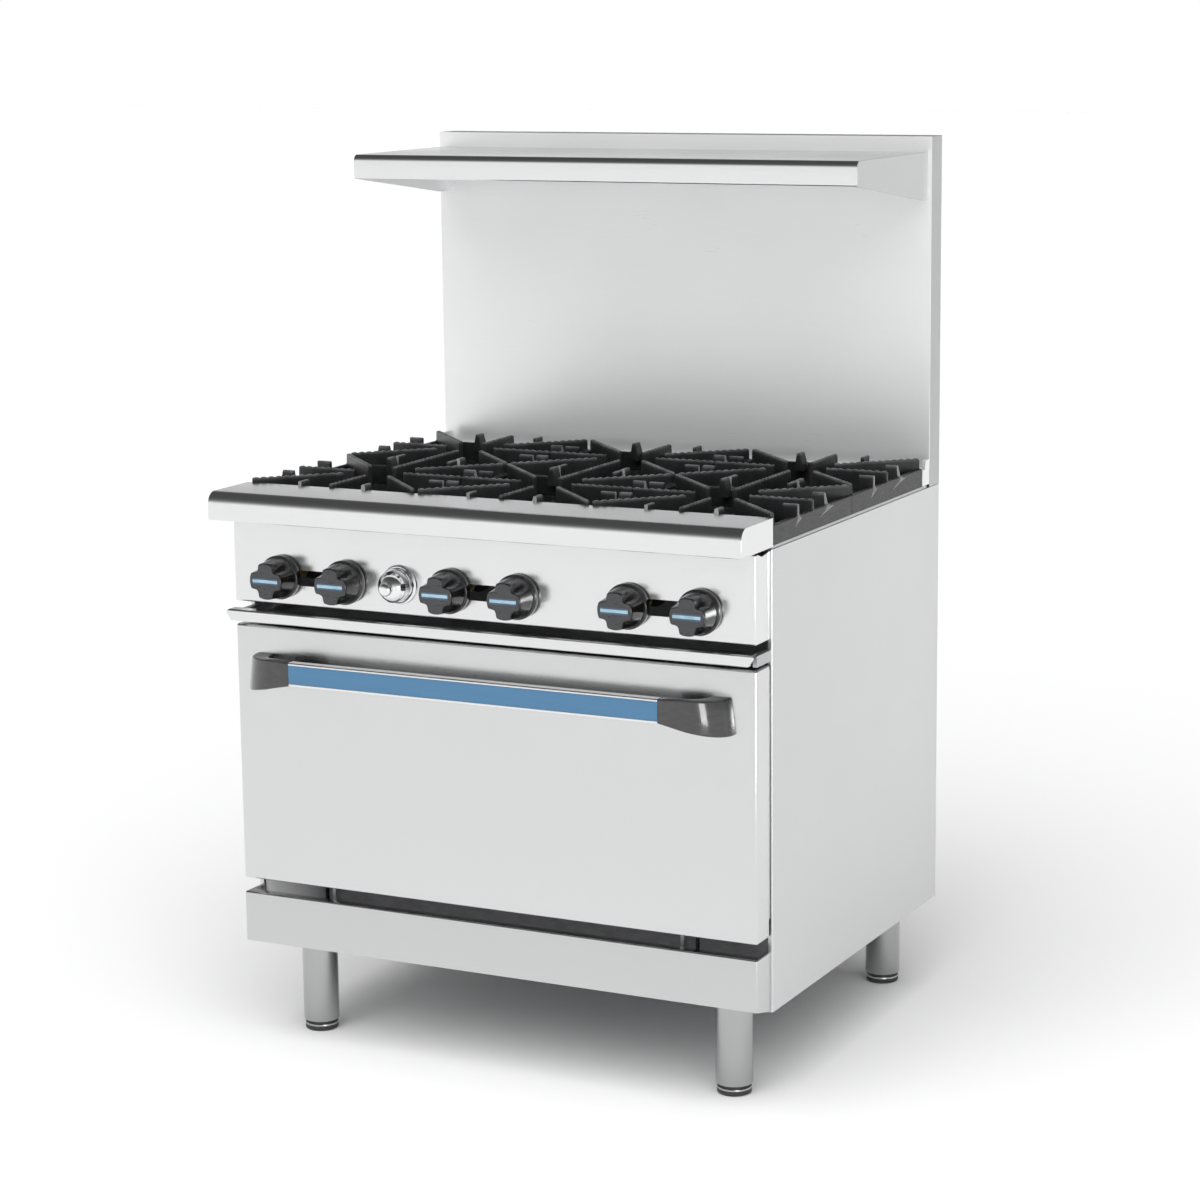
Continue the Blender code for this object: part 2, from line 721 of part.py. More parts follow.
def burners(iron):
    profile = [
        (0.030, BURNER_SEAT + GAP),
        (0.030, 0.805),
        (0.050, 0.836),
        (0.050, 0.856),
        (0.046, 0.866),
        (0.024, 0.872),
    ]
    mouth = FRONT + 0.036
    index = 0
    for row_number, row in enumerate(ROWS):
        for column in COLUMNS:
            index += 1
            side = -1 if row_number else 1
            start = (column + side * KNOB_SPREAD, mouth, KNOB_Z)
            end = (column, row, KNOB_Z)
            route = [start, end]
            if row_number:
                route = [start, (start[0], ROWS[0] + 0.130, KNOB_Z), end]
            head = lathe(profile, (column, row, 0), (0, 0, 1), 24)
            collar_end = (start[0], mouth + 0.010, KNOB_Z)
            collar = rod(start, collar_end, VENTURI_RADIUS + 0.0045, 12)
            shape(
                "burner_%d" % index,
                [head, pipe(route, VENTURI_RADIUS, 10), collar],
                iron,
                (),
                (column, row, BURNER_SEAT),
            )


def grate_finger(start, end, middle, low, top, angle_deg):
    """An upright bar that points away from the grate's centre, turned about it."""
    bar = box((start, end), (middle - BAR / 2, middle + BAR / 2), (low, top))
    bar.data.transform(Matrix.Rotation(math.radians(angle_deg), 4, "Z"))
    return bar


def grates(iron):
    """Cast grates. Four diagonal and four straight fingers leave a well above the burner."""
    half = BURNER_PITCH / 2 - GRATE_GAP / 2
    inset = 0.0005  # keeps the ends of the fingers off the frame's outer faces
    low = GRATE_BOTTOM + 0.014
    well, corner_well = 0.046, 0.060
    corner = (half - BAR / 2 - inset) * math.sqrt(2)
    stub, stub_start = 0.057, half - 0.026
    wedge = [
        (stub - 0.009, low + 0.004),
        (stub + 0.009, low + 0.004),
        (stub + 0.003, GRATE_TOP),
        (stub - 0.003, GRATE_TOP),
    ]
    positions = [(column, row) for row in ROWS for column in COLUMNS]
    for index, (column, row) in enumerate(positions, 1):
        ring = box((-half, half), (-half, half), (GRATE_BOTTOM, GRATE_FRAME_TOP))
        opening = box((-half + BAR, half - BAR), (-half + BAR, half - BAR), (0, 1))
        solids = [shape("ring", [ring], iron, [opening])]
        for quarter in range(0, 360, 90):
            block = prism(wedge, "X", stub_start, half - 3 * inset)
            block.data.transform(Matrix.Rotation(math.radians(quarter), 4, "Z"))
            solids += [
                grate_finger(corner_well, corner, 0, low, GRATE_TOP, quarter + 45),
                grate_finger(well, half - inset, 0, low, GRATE_TOP - 2 * inset, quarter),
                grate_finger(stub_start, half - 2 * inset, -stub, low, GRATE_TOP - inset, quarter),
                block,
            ]
        for solid in solids:
            solid.data.transform(Matrix.Translation((column, row, 0)))
        shape("grate_%d" % index, solids, iron, (), (column, row, GRATE_BOTTOM))


def crumb_tray(steel):
    face = FACE - 0.0005
    front = face - TRAY_NOSE_REACH
    path = [
        (face, TRAY_NOSE_TOP),
        (front + 0.002, TRAY_NOSE_TOP),
        (front, TRAY_NOSE_TOP - 0.002),
        (front, TRAY_NOSE_BOTTOM),
        (front + 0.012, TRAY_NOSE_BOTTOM),
    ]
    nose = prism(strip(path, SHEET), "X", -HALF, HALF)
    corners = []
    for side in (-1, 1):
        corner = [
            (HALF + 0.001, TRAY_NOSE_BOTTOM - 0.001),
            (HALF + 0.001, TRAY_NOSE_BOTTOM + 0.012),
            (HALF - 0.009, TRAY_NOSE_BOTTOM - 0.001),
        ]
        corners.append(prism(sides(corner, side), "Y", front - 0.001, face + 0.001))
    nose = shape("nose", [nose], steel, corners)
    web = box(
        (-HALF + 0.02, HALF - 0.02),
        (face - SHEET, face - 0.0001),
        (TRAY_BOTTOM + 0.0002, TRAY_NOSE_TOP - SHEET / 2),
    )
    half, rear = TRAY_HALF, FRONT + 0.600
    low = TRAY_BOTTOM + 0.0035 + GAP
    outer = box((-half, half), (face - SHEET / 2, rear), (low, TRAY_TOP - 0.001))
    inner = box((-half + THIN, half - THIN), (face + SHEET, rear - THIN), (low + THIN, TRAY_TOP + 0.01))
    pan = shape("pan", [outer], steel, [inner])
    shape("crumb_tray", [nose, web, pan], steel, (), (0, FACE, TRAY_BOTTOM))


# Gas train and controls ---------------------------------------------------------------------------


def gas_manifold(pipe_steel):
    route = [
        (-0.400, MANIFOLD_Y, MANIFOLD_Z),
        (MANIFOLD_SIDE_X, MANIFOLD_Y, MANIFOLD_Z),
        (MANIFOLD_SIDE_X, BACK, MANIFOLD_Z),
    ]
    body = pipe(route, MANIFOLD_RADIUS, 16)
    bore = rod(
        (MANIFOLD_SIDE_X, BACK - 0.060, MANIFOLD_Z),
        (MANIFOLD_SIDE_X, BACK + 0.010, MANIFOLD_Z),
        0.0125,
        16,
    )
    shape("gas_manifold", [body], pipe_steel, [bore])


def knob_positions():
    for column in COLUMNS:
        for side in (-1, 1):
            yield column + side * KNOB_SPREAD


def burner_valves(brass):
    front, rear = FACE + 0.010, FRONT + 0.008
    profile = ((0.009, 0), (0.009, 0.010), (0.0125, 0.012), (0.0125, rear - front))
    neck_top = MANIFOLD_Z - MANIFOLD_RADIUS - GAP
    for index, x in enumerate(knob_positions(), 1):
        body = lathe(profile, (x, front, KNOB_Z), (0, 1, 0), 10)
        neck = rod((x, MANIFOLD_Y, KNOB_Z), (x, MANIFOLD_Y, neck_top), 0.008, 10)
        orifice = rod((x, rear - 0.002, KNOB_Z), (x, rear + 0.020, KNOB_Z), 0.006, 8)
        socket = rod((x, front - 0.01, KNOB_Z), (x, front + 0.020, KNOB_Z), SHAFT_RADIUS + 0.0005, 12)
        shape("burner_valve_%d" % index, [body, neck, orifice], brass, [socket])


def lobed_outline(radius, lobe, lobes, steps):
    """A wavy circle whose lobes stand out by the given height, with one lobe at the top."""
    points = []
    for i in range(steps):
        turn = 2 * math.pi * i / steps
        r = radius + lobe * math.cos(lobes * turn)
        points.append((r * math.sin(turn), r * math.cos(turn)))
    return points


def burner_knobs(black):
    skirt_profile = (
        (0.0350, 0.0005),
        (0.0350, 0.0115),
        (0.0330, 0.0125),
        (0.0330, 0.0180),
    )
    levels = ((1.06, 0.017), (1.0, 0.046), (0.94, KNOB_DEPTH))
    grip_outline = lobed_outline(0.0262, 0.0036, 4, 40)
    for index, x in enumerate(knob_positions(), 1):
        skirt = lathe(skirt_profile, (x, FACE, KNOB_Z), (0, -1, 0), 28)
        bm = bmesh.new()
        rings = [
            [bm.verts.new((x + u * scale, FACE - depth, KNOB_Z + v * scale)) for u, v in grip_outline]
            for scale, depth in levels
        ]
        for lower, upper in zip(rings[:-1], rings[1:]):
            for i in range(len(lower)):
                j = (i + 1) % len(lower)
                bm.faces.new((lower[i], lower[j], upper[j], upper[i]))
        bm.faces.new(rings[0])
        bm.faces.new(rings[-1])
        grip = from_bmesh("grip", bm)
        shaft = rod((x, FACE - 0.005, KNOB_Z), (x, FACE + 0.024, KNOB_Z), SHAFT_RADIUS, 12)
        shape("burner_knob_%d" % index, [skirt, grip, shaft], black, (), (x, FACE, KNOB_Z))


def oven_control(chrome, galvanised):
    x, z = OVEN_CONTROL_X, OVEN_CONTROL_Z
    bezel_profile = (
        (0.0310, GAP),
        (0.0310, 0.0030),
        (0.0265, 0.0055),
        (0.0265, 0.0120),
    )
    bezel = lathe(bezel_profile, (x, FACE, z), (0, -1, 0), 36)
    bore = rod((x, FACE - 0.03, z), (x, FACE + 0.01, z), SHAFT_RADIUS + 0.001, 16)
    shape("oven_control_bezel", [bezel], chrome, [bore], (x, FACE, z))
    knob_profile = (
        (0.0250, 0.0125),
        (0.0250, 0.0250),
        (0.0185, 0.0340),
        (0.0105, 0.0395),
        (0.0103, 0.0460),
        (0.0045, 0.0525),
    )
    knob = lathe(knob_profile, (x, FACE, z), (0, -1, 0), 36)
    shaft = rod((x, FACE - 0.014, z), (x, FACE + 0.024, z), SHAFT_RADIUS, 12)
    shape("oven_control_knob", [knob, shaft], chrome, (), (x, FACE, z))
    front = FACE + 0.008
    case = box((x - 0.025, x + 0.025), (front, FRONT - 0.002), (z - 0.022, z + 0.018))
    boss = rod((x, front - 0.004, z), (x, front + 0.002, z), 0.009, 16)
    socket = rod((x, front - 0.010, z), (x, front + 0.022, z), SHAFT_RADIUS + 0.0005, 12)
    shape("oven_thermostat", [case, boss], galvanised, [socket])


# Riser and shelf ----------------------------------------------------------------------------------


def riser(steel, galvanised):
    low = BODY_TOP + 0.0005
    face = box((-HALF, HALF), (RISER_FRONT, RISER_FRONT + SHEET), (STRIP_TOP - SHEET, HEIGHT))
    return_y = (RISER_FRONT + SHEET / 2, RISER_FRONT + 0.016)
    returns = [
        box(span(side, HALF - 0.0035, HALF - 0.002), return_y, (STRIP_TOP, HEIGHT - 0.004))
        for side in (-1, 1)
    ]
    strip_front = ROW_START + 2 * BURNER_PITCH + 0.002
    path = [
        (RISER_FRONT + SHEET, STRIP_TOP),
        (strip_front, STRIP_TOP),
        (strip_front, GRATE_BOTTOM + 0.0005),
        (strip_front + 0.006, GRATE_BOTTOM + 0.0005),
    ]
    ledge = prism(strip(path, SHEET), "X", -HALF + 0.0002, HALF - 0.0002)
    end = [
        (strip_front + 0.0002, GRATE_BOTTOM + 0.0007),
        (RISER_FRONT + SHEET / 2, GRATE_BOTTOM + 0.0007),
        (RISER_FRONT + SHEET / 2, LEDGE_TOP),
        (strip_front + 0.014, LEDGE_TOP),
        (strip_front + 0.010, STRIP_TOP - 0.0002),
        (strip_front + 0.0002, STRIP_TOP - 0.0002),
    ]
    ends = [prism(end, "X", *span(side, HALF - 0.006, HALF - 0.0001)) for side in (-1, 1)]
    shape("riser_splash", [face, ledge, *returns, *ends], steel)

    side_front = RISER_FRONT + SHEET + GAP
    path = [(-HALF, side_front), (-HALF, BACK), (HALF, BACK), (HALF, side_front)]
    wrap = prism(strip(path[::-1], SHEET), "Z", low, HEIGHT)
    lid_x = (-HALF + SHEET / 2, HALF - SHEET / 2)
    lid = box(lid_x, (side_front, BACK - SHEET / 2), (HEIGHT - SHEET, HEIGHT - 0.0001))
    flue = box((-0.300, 0.300), (BACK - 0.01, BACK + 0.01), (HEIGHT - 0.075, HEIGHT - 0.035))
    shape("riser_housing", [wrap, lid], galvanised, [flue])


def high_shelf(steel):
    rear = RISER_FRONT - GAP
    radius = 0.010
    corner = arc((SHELF_FRONT + radius, SHELF_TOP - radius), radius, 90, 180, 6)
    path = [
        (rear, SHELF_TOP),
        *corner,
        (SHELF_FRONT, SHELF_EDGE_BOTTOM),
        (SHELF_FRONT + 0.018, SHELF_EDGE_BOTTOM),
    ]
    top = prism(strip(path, SHEET), "X", -SHELF_HALF + 0.001, SHELF_HALF - 0.001)
    bracket = [(rear, SHELF_TOP - 0.0002)]
    bracket += [(u + 0.0002, v - 0.0002) for u, v in corner]
    bracket += [
        (SHELF_FRONT + 0.0002, SHELF_EDGE_BOTTOM - 0.0005),
        (rear - 0.020, BRACKET_BOTTOM),
        (rear, BRACKET_BOTTOM),
    ]
    plates = [prism(bracket, "X", *span(side, SHELF_HALF - 0.002, SHELF_HALF)) for side in (-1, 1)]
    flange_z = (BRACKET_BOTTOM + 0.0005, SHELF_TOP - 0.0005)
    flanges = [
        box(span(side, SHELF_HALF - 0.020, SHELF_HALF - 0.001), (rear - SHEET, rear), flange_z)
        for side in (-1, 1)
    ]
    shape("high_shelf", [top, *plates, *flanges], steel)


# Assembly -----------------------------------------------------------------------------------------


def main():
    clear_scene()
    steel = material("stainless_steel", (0.74, 0.75, 0.76), 0.32, 1.0)
    galvanised = material("galvanised_steel", (0.60, 0.61, 0.62), 0.45, 1.0)
    enamel = material("oven_enamel", (0.05, 0.05, 0.06), 0.30, 0.0)
    iron = material("cast_iron", (0.035, 0.036, 0.038), 0.60, 0.2)
    chrome = material("chrome", (0.85, 0.85, 0.86), 0.08, 1.0)
    black = material("black_knob_plastic", (0.02, 0.02, 0.022), 0.18, 0.0)
    grey_plastic = material("handle_cap_plastic", (0.10, 0.10, 0.105), 0.25, 0.0)
    blue = material("blue_insert", (0.16, 0.38, 0.66), 0.35, 0.0)
    brass = material("brass", (0.70, 0.56, 0.24), 0.30, 1.0)
    pipe_steel = material("black_pipe", (0.08, 0.08, 0.08), 0.50, 0.6)
    rubber = material("foot_rubber", (0.06, 0.06, 0.06), 0.60, 0.0)

    side_panels(steel)
    back_panel(galvanised)
    base_frame(galvanised)
    legs_and_feet(steel, rubber)
    kick_plate(steel)

    oven_liner(enamel)
    oven_deck(enamel)
    oven_rack(chrome)
    oven_burner(iron)

    pivot = bpy.data.objects.new("door_pivot", None)
    pivot.location = (0, HINGE_Y, HINGE_Z)
    bpy.context.scene.collection.objects.link(pivot)
    door_outer_panel(steel, pivot)
    door_inner_panel(enamel, pivot)
    door_handle(steel, blue, pivot)
    handle_caps(grey_plastic, pivot)
    door_hinges(galvanised)

    control_panel(steel)
    front_ledge(steel)
    burner_box(galvanised)
    burners(iron)
    grates(iron)
    crumb_tray(steel)

    gas_manifold(pipe_steel)
    burner_valves(brass)
    burner_knobs(black)
    oven_control(chrome, galvanised)

    riser(steel, galvanised)
    high_shelf(steel)


main()
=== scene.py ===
"""The looks of a six-burner gas range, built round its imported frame. Metres, +Z up, +Y to the wall."""

import json
from math import copysign, cos, hypot, pi, radians, sin, sqrt, tan

import bmesh
import bpy
from mathutils import Matrix, Vector


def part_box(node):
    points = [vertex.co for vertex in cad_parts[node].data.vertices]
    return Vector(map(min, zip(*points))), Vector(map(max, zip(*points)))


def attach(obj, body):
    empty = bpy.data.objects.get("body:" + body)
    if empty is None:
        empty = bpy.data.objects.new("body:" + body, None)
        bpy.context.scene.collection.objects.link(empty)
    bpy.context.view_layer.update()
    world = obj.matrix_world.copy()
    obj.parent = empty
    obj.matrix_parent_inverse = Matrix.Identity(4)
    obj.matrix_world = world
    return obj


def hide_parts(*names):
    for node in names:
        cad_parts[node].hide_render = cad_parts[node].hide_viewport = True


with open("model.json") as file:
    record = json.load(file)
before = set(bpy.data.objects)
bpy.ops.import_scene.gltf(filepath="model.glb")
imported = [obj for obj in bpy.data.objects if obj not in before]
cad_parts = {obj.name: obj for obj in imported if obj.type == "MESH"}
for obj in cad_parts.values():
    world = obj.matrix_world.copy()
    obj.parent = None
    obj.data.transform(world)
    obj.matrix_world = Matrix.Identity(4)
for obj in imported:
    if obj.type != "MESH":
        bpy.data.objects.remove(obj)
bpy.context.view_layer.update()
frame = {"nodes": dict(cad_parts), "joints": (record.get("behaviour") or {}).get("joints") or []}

# Places read from the frame -----------------------------------------------------------------------

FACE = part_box("control_panel")[0].y  # front of the panel, the door and the kick plate
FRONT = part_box("side_panel_right")[0].y  # front edge of the side panels, behind those
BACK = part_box("back_panel")[1].y
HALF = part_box("front_ledge")[1].x  # half the range's width
DOOR_LOW, DOOR_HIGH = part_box("door_outer_panel")
PANEL_LOW, PANEL_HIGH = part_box("control_panel")
LEDGE_LOW, LEDGE_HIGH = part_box("front_ledge")
SHELF_LOW, SHELF_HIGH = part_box("high_shelf")
SPLASH_LOW, SPLASH_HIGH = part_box("riser_splash")
TRAY_LOW, TRAY_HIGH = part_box("crumb_tray")
BAR_LOW, BAR_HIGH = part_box("door_handle_bar")
AXES = {joint["child"]: Vector(joint["pos_m"]) for joint in frame["joints"] if "pos_m" in joint}
KNOBS = [AXES["knob_%d" % index] for index in range(1, 7)]
HINGE = AXES["door"]

SHEET = 0.0015
BEND = 0.0025  # outer radius of a folded sheet's bends
HINGE_X = sum(corner.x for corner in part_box("door_hinge_right")) / 2
PIPE_RADIUS = 0.0167
PIPE_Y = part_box("gas_manifold")[0].y + PIPE_RADIUS
PIPE_Z = sum(corner.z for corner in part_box("gas_manifold")) / 2

ORIGIN = (0, 0, 0)
TO_FRONT, TO_BACK, UP = (0, -1, 0), (0, 1, 0), (0, 0, 1)
SIDES = (-1, 1)  # left and right
PAST = 0.01  # how far a cutter runs past the wall that it cuts


# Meshes -------------------------------------------------------------------------------------------


def linked(name, data):
    """A new object in the scene with the data."""
    obj = bpy.data.objects.new(name, data)
    bpy.context.scene.collection.objects.link(obj)
    return obj


def linked_mesh(bm, name):
    mesh = bpy.data.meshes.new(name)
    bm.to_mesh(mesh)
    bm.free()
    return linked(name, mesh)


def mesh_object(bm, name="part"):
    bmesh.ops.recalc_face_normals(bm, faces=bm.faces)
    return linked_mesh(bm, name)


def bridge(bm, rings):
    """Faces from each ring of vertices to the next. A ring of one vertex is a tip."""
    for lower, upper in zip(rings[:-1], rings[1:]):
        around = max(len(lower), len(upper))
        for i in range(around):
            j = (i + 1) % around
            if len(lower) == 1:
                bm.faces.new((lower[0], upper[j], upper[i]))
            elif len(upper) == 1:
                bm.faces.new((lower[i], lower[j], upper[0]))
            else:
                bm.faces.new((lower[i], lower[j], upper[j], upper[i]))


def bridged(bm, rings):
    """The closed object that has the rings as its skin, with a face on each end that isn't a tip."""
    bridge(bm, rings)
    for ring in (rings[0], rings[-1]):
        if len(ring) > 1:
            bm.faces.new(ring)
    return mesh_object(bm)


def apply_modifiers(obj):
    bpy.context.view_layer.update()
    graph = bpy.context.evaluated_depsgraph_get()
    mesh = bpy.data.meshes.new_from_object(obj.evaluated_get(graph))
    obj.modifiers.clear()
    old = obj.data
    obj.data = mesh
    bpy.data.meshes.remove(old)
    return obj


def discard(obj):
    bpy.data.objects.remove(obj, do_unlink=True)


def joined(objects):
    """All the objects as one mesh. Their shells stay as they are."""
    bm = bmesh.new()
    for obj in objects:
        copy = obj.data.copy()
        copy.transform(obj.matrix_basis)
        bm.from_mesh(copy)
        bpy.data.meshes.remove(copy)
        discard(obj)
    return linked_mesh(bm, "joined")


def cut(obj, cutters):
    for cutter in cutters:
        modifier = obj.modifiers.new("cut", "BOOLEAN")
        modifier.operation = "DIFFERENCE"
        modifier.solver = "EXACT"
        modifier.object = cutter
    apply_modifiers(obj)
    for cutter in cutters:
        discard(cutter)
    return obj


def box(x, y, z):
    bm = bmesh.new()
    bmesh.ops.create_cube(bm, size=1.0)
    for vert in bm.verts:
        for axis, (low, high) in enumerate((x, y, z)):
            vert.co[axis] = low if vert.co[axis] < 0 else high
    return mesh_object(bm)


def spread(axis, u, v, w):
    """A point from an outline's (u, v) and its place w along the axis."""
    return {"X": (w, u, v), "Y": (u, w, v), "Z": (u, v, w)}[axis]


def prism(outline, axis, low, high):
    """A closed outline carried along an axis: (y, z) for X, (x, z) for Y and (x, y) for Z."""
    bm = bmesh.new()
    start = [bm.verts.new(spread(axis, u, v, low)) for u, v in outline]
    end = [bm.verts.new(spread(axis, u, v, high)) for u, v in outline]
    bm.faces.new(start)
    bm.faces.new(end)
    for i in range(len(outline)):
        j = (i + 1) % len(outline)
        bm.faces.new((start[i], start[j], end[j], end[i]))
    return mesh_object(bm)


def arc(center, radius, start_deg, end_deg, steps):
    points = []
    for i in range(steps + 1):
        angle = radians(start_deg + (end_deg - start_deg) * i / steps)
        points.append((center[0] + radius * cos(angle), center[1] + radius * sin(angle)))
    return points


def rounded(path, radius, steps=4):
    """The open path with each corner between its ends turned into an arc."""
    points = [Vector(p) for p in path]
    made = [points[0]]
    for before, corner, after in zip(points, points[1:], points[2:]):
        u, v = (before - corner), (after - corner)
        room = 0.49 * min(u.length, v.length)
        u, v = u.normalized(), v.normalized()
        angle = u.angle(v)
        if angle > radians(170):
            made.append(corner)
            continue
        reach = min(radius / tan(angle / 2), room)
        bend = reach * tan(angle / 2)
        middle = corner + (u + v).normalized() * (bend / sin(angle / 2))
        first = corner + u * reach - middle
        sweep = copysign(pi - angle, v.x * u.y - v.y * u.x)
        for i in range(steps + 1):
            a = sweep * i / steps
            turned = (
                first.x * cos(a) - first.y * sin(a),
                first.x * sin(a) + first.y * cos(a),
            )
            made.append(middle + Vector(turned))
    made.append(points[-1])
    return [tuple(p) for p in made]


def offset(path, distance):
    """The open path moved to its left."""
    normals = []
    for (u0, v0), (u1, v1) in zip(path[:-1], path[1:]):
        length = hypot(u1 - u0, v1 - v0)
        normals.append(((v0 - v1) / length, (u1 - u0) / length))
    moved = []
    for i, (u, v) in enumerate(path):
        a = normals[max(i - 1, 0)]
        b = normals[min(i, len(normals) - 1)]
        scale = distance / (1 + a[0] * b[0] + a[1] * b[1])
        moved.append((u + (a[0] + b[0]) * scale, v + (a[1] + b[1]) * scale))
    return moved


def bent_sheet(path, axis, low, high, bend=BEND, thickness=SHEET):
    """A folded sheet. The path is its outer skin, and the metal lies to the path's left."""
    skin = rounded(path, bend)
    return prism(skin + offset(skin, thickness)[::-1], axis, low, high)


def shell(outline, x, open_normals, bend=BEND, thickness=SHEET):
    """A folded pan: a (y, z) outline carried along X, without the faces that look along open_normals."""
    obj = prism(outline, "X", *x)
    bm = bmesh.new()
    bm.from_mesh(obj.data)
    bm.normal_update()
    missing = [f for f in bm.faces if any(f.normal.dot(Vector(n)) > 0.9 for n in open_normals)]
    bmesh.ops.delete(bm, geom=missing, context="FACES")
    folds = [e for e in bm.edges if len(e.link_faces) == 2]
    bmesh.ops.bevel(bm, geom=folds, offset=bend, segments=4, affect="EDGES", profile=0.5)
    bm.to_mesh(obj.data)
    bm.free()
    thick = obj.modifiers.new("thick", "SOLIDIFY")
    thick.thickness = thickness
    thick.offset = -1
    thick.use_even_offset = True
    return apply_modifiers(obj)


def mm(*points):
    """Points given in millimetres."""
    return [tuple(value / 1000 for value in point) for point in points]


def aim(origin, axis):
    """The matrix that carries +Z to the axis, at origin."""
    turn = Vector((0, 0, 1)).rotation_difference(Vector(axis)).to_matrix().to_4x4()
    return Matrix.Translation(origin) @ turn


def lathe(profile, origin, axis, segments=48, waves=None):
    """A profile of (radius, height) points turned about an axis. waves(turn, height) scales the radius."""
    place = aim(origin, axis)
    bm = bmesh.new()
    rings = []
    for radius, height in profile:
        if radius < 1e-6:
            rings.append([bm.verts.new(place @ Vector((0, 0, height)))])
            continue
        ring = []
        for i in range(segments):
            turn = 2 * pi * i / segments
            r = radius * (waves(turn, height) if waves else 1)
            ring.append(bm.verts.new(place @ Vector((r * cos(turn), r * sin(turn), height))))
        rings.append(ring)
    return bridged(bm, rings)


def rod(start, end, radius, segments=16):
    start, end = Vector(start), Vector(end)
    length = (end - start).length
    edge = min(radius * 0.2, 0.0006)
    profile = ((radius - edge, 0), (radius, edge), (radius, length - edge), (radius - edge, length))
    return lathe(profile, start, (end - start).normalized(), segments)


def tube(points, radius, segments=12):
    """A round bar along a path of points that lie close enough together to look curved."""
    points = [Vector(p) for p in points]
    bm = bmesh.new()
    side = (points[1] - points[0]).orthogonal().normalized()
    rings = []
    for i, point in enumerate(points):
        along = (points[min(i + 1, len(points) - 1)] - points[max(i - 1, 0)]).normalized()
        side = (side - along * side.dot(along)).normalized()
        other = along.cross(side)
        rings.append([
            bm.verts.new(point + radius * (cos(a) * side + sin(a) * other))
            for a in (2 * pi * k / segments for k in range(segments))
        ])
    return bridged(bm, rings)


def smooth_route(path, radius, steps=6):
    """A 3-D path with its corners turned into arcs."""
    points = [Vector(p) for p in path]
    made = [points[0]]
    for before, corner, after in zip(points, points[1:], points[2:]):
        u, v = before - corner, after - corner
        reach = min(radius, 0.45 * u.length, 0.45 * v.length)
        start, end = corner + u.normalized() * reach, corner + v.normalized() * reach
        for i in range(steps + 1):
            t = i / steps
            made.append(start * (1 - t) ** 2 + corner * 2 * t * (1 - t) + end * t * t)
    made.append(points[-1])
    return made


def span(side, low, high):
    return (low, high) if side > 0 else (-high, -low)


def end_plates(outline, low, high):
    """The (y, z) outline as a plate at each end, from low to high along X."""
    return [prism(outline, "X", *span(side, low, high)) for side in SIDES]


def end_boxes(low, high, y, z):
    return [box(span(side, low, high), y, z) for side in SIDES]


def soften(obj, width, limit_deg):
    """Rounds the edges that are sharper than the limit."""
    modifier = obj.modifiers.new("edges", "BEVEL")
    modifier.width = width
    modifier.segments = 2
    modifier.limit_method = "ANGLE"
    modifier.angle_limit = radians(limit_deg)
    modifier.harden_normals = True


def piece(obj, name, paint, body, stands_for=(), bevel=0.0, sharp=35):
    """Finishes one visible piece and puts it on its body."""
    obj.name = name
    mesh = obj.data
    mesh.name = name
    paints = paint if isinstance(paint, (list, tuple)) else [paint]
    indices = [face.material_index for face in mesh.polygons]
    mesh.materials.clear()
    for each in paints:
        mesh.materials.append(each)
    for face, index in zip(mesh.polygons, indices):
        face.material_index = min(index, len(paints) - 1)
    mesh.shade_smooth()
    mesh.set_sharp_from_angle(angle=radians(sharp))
    if bevel:
        soften(obj, bevel, 50)
    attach(obj, body)
    if stands_for:
        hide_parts(*stands_for)
    return obj


# Materials ----------------------------------------------------------------------------------------


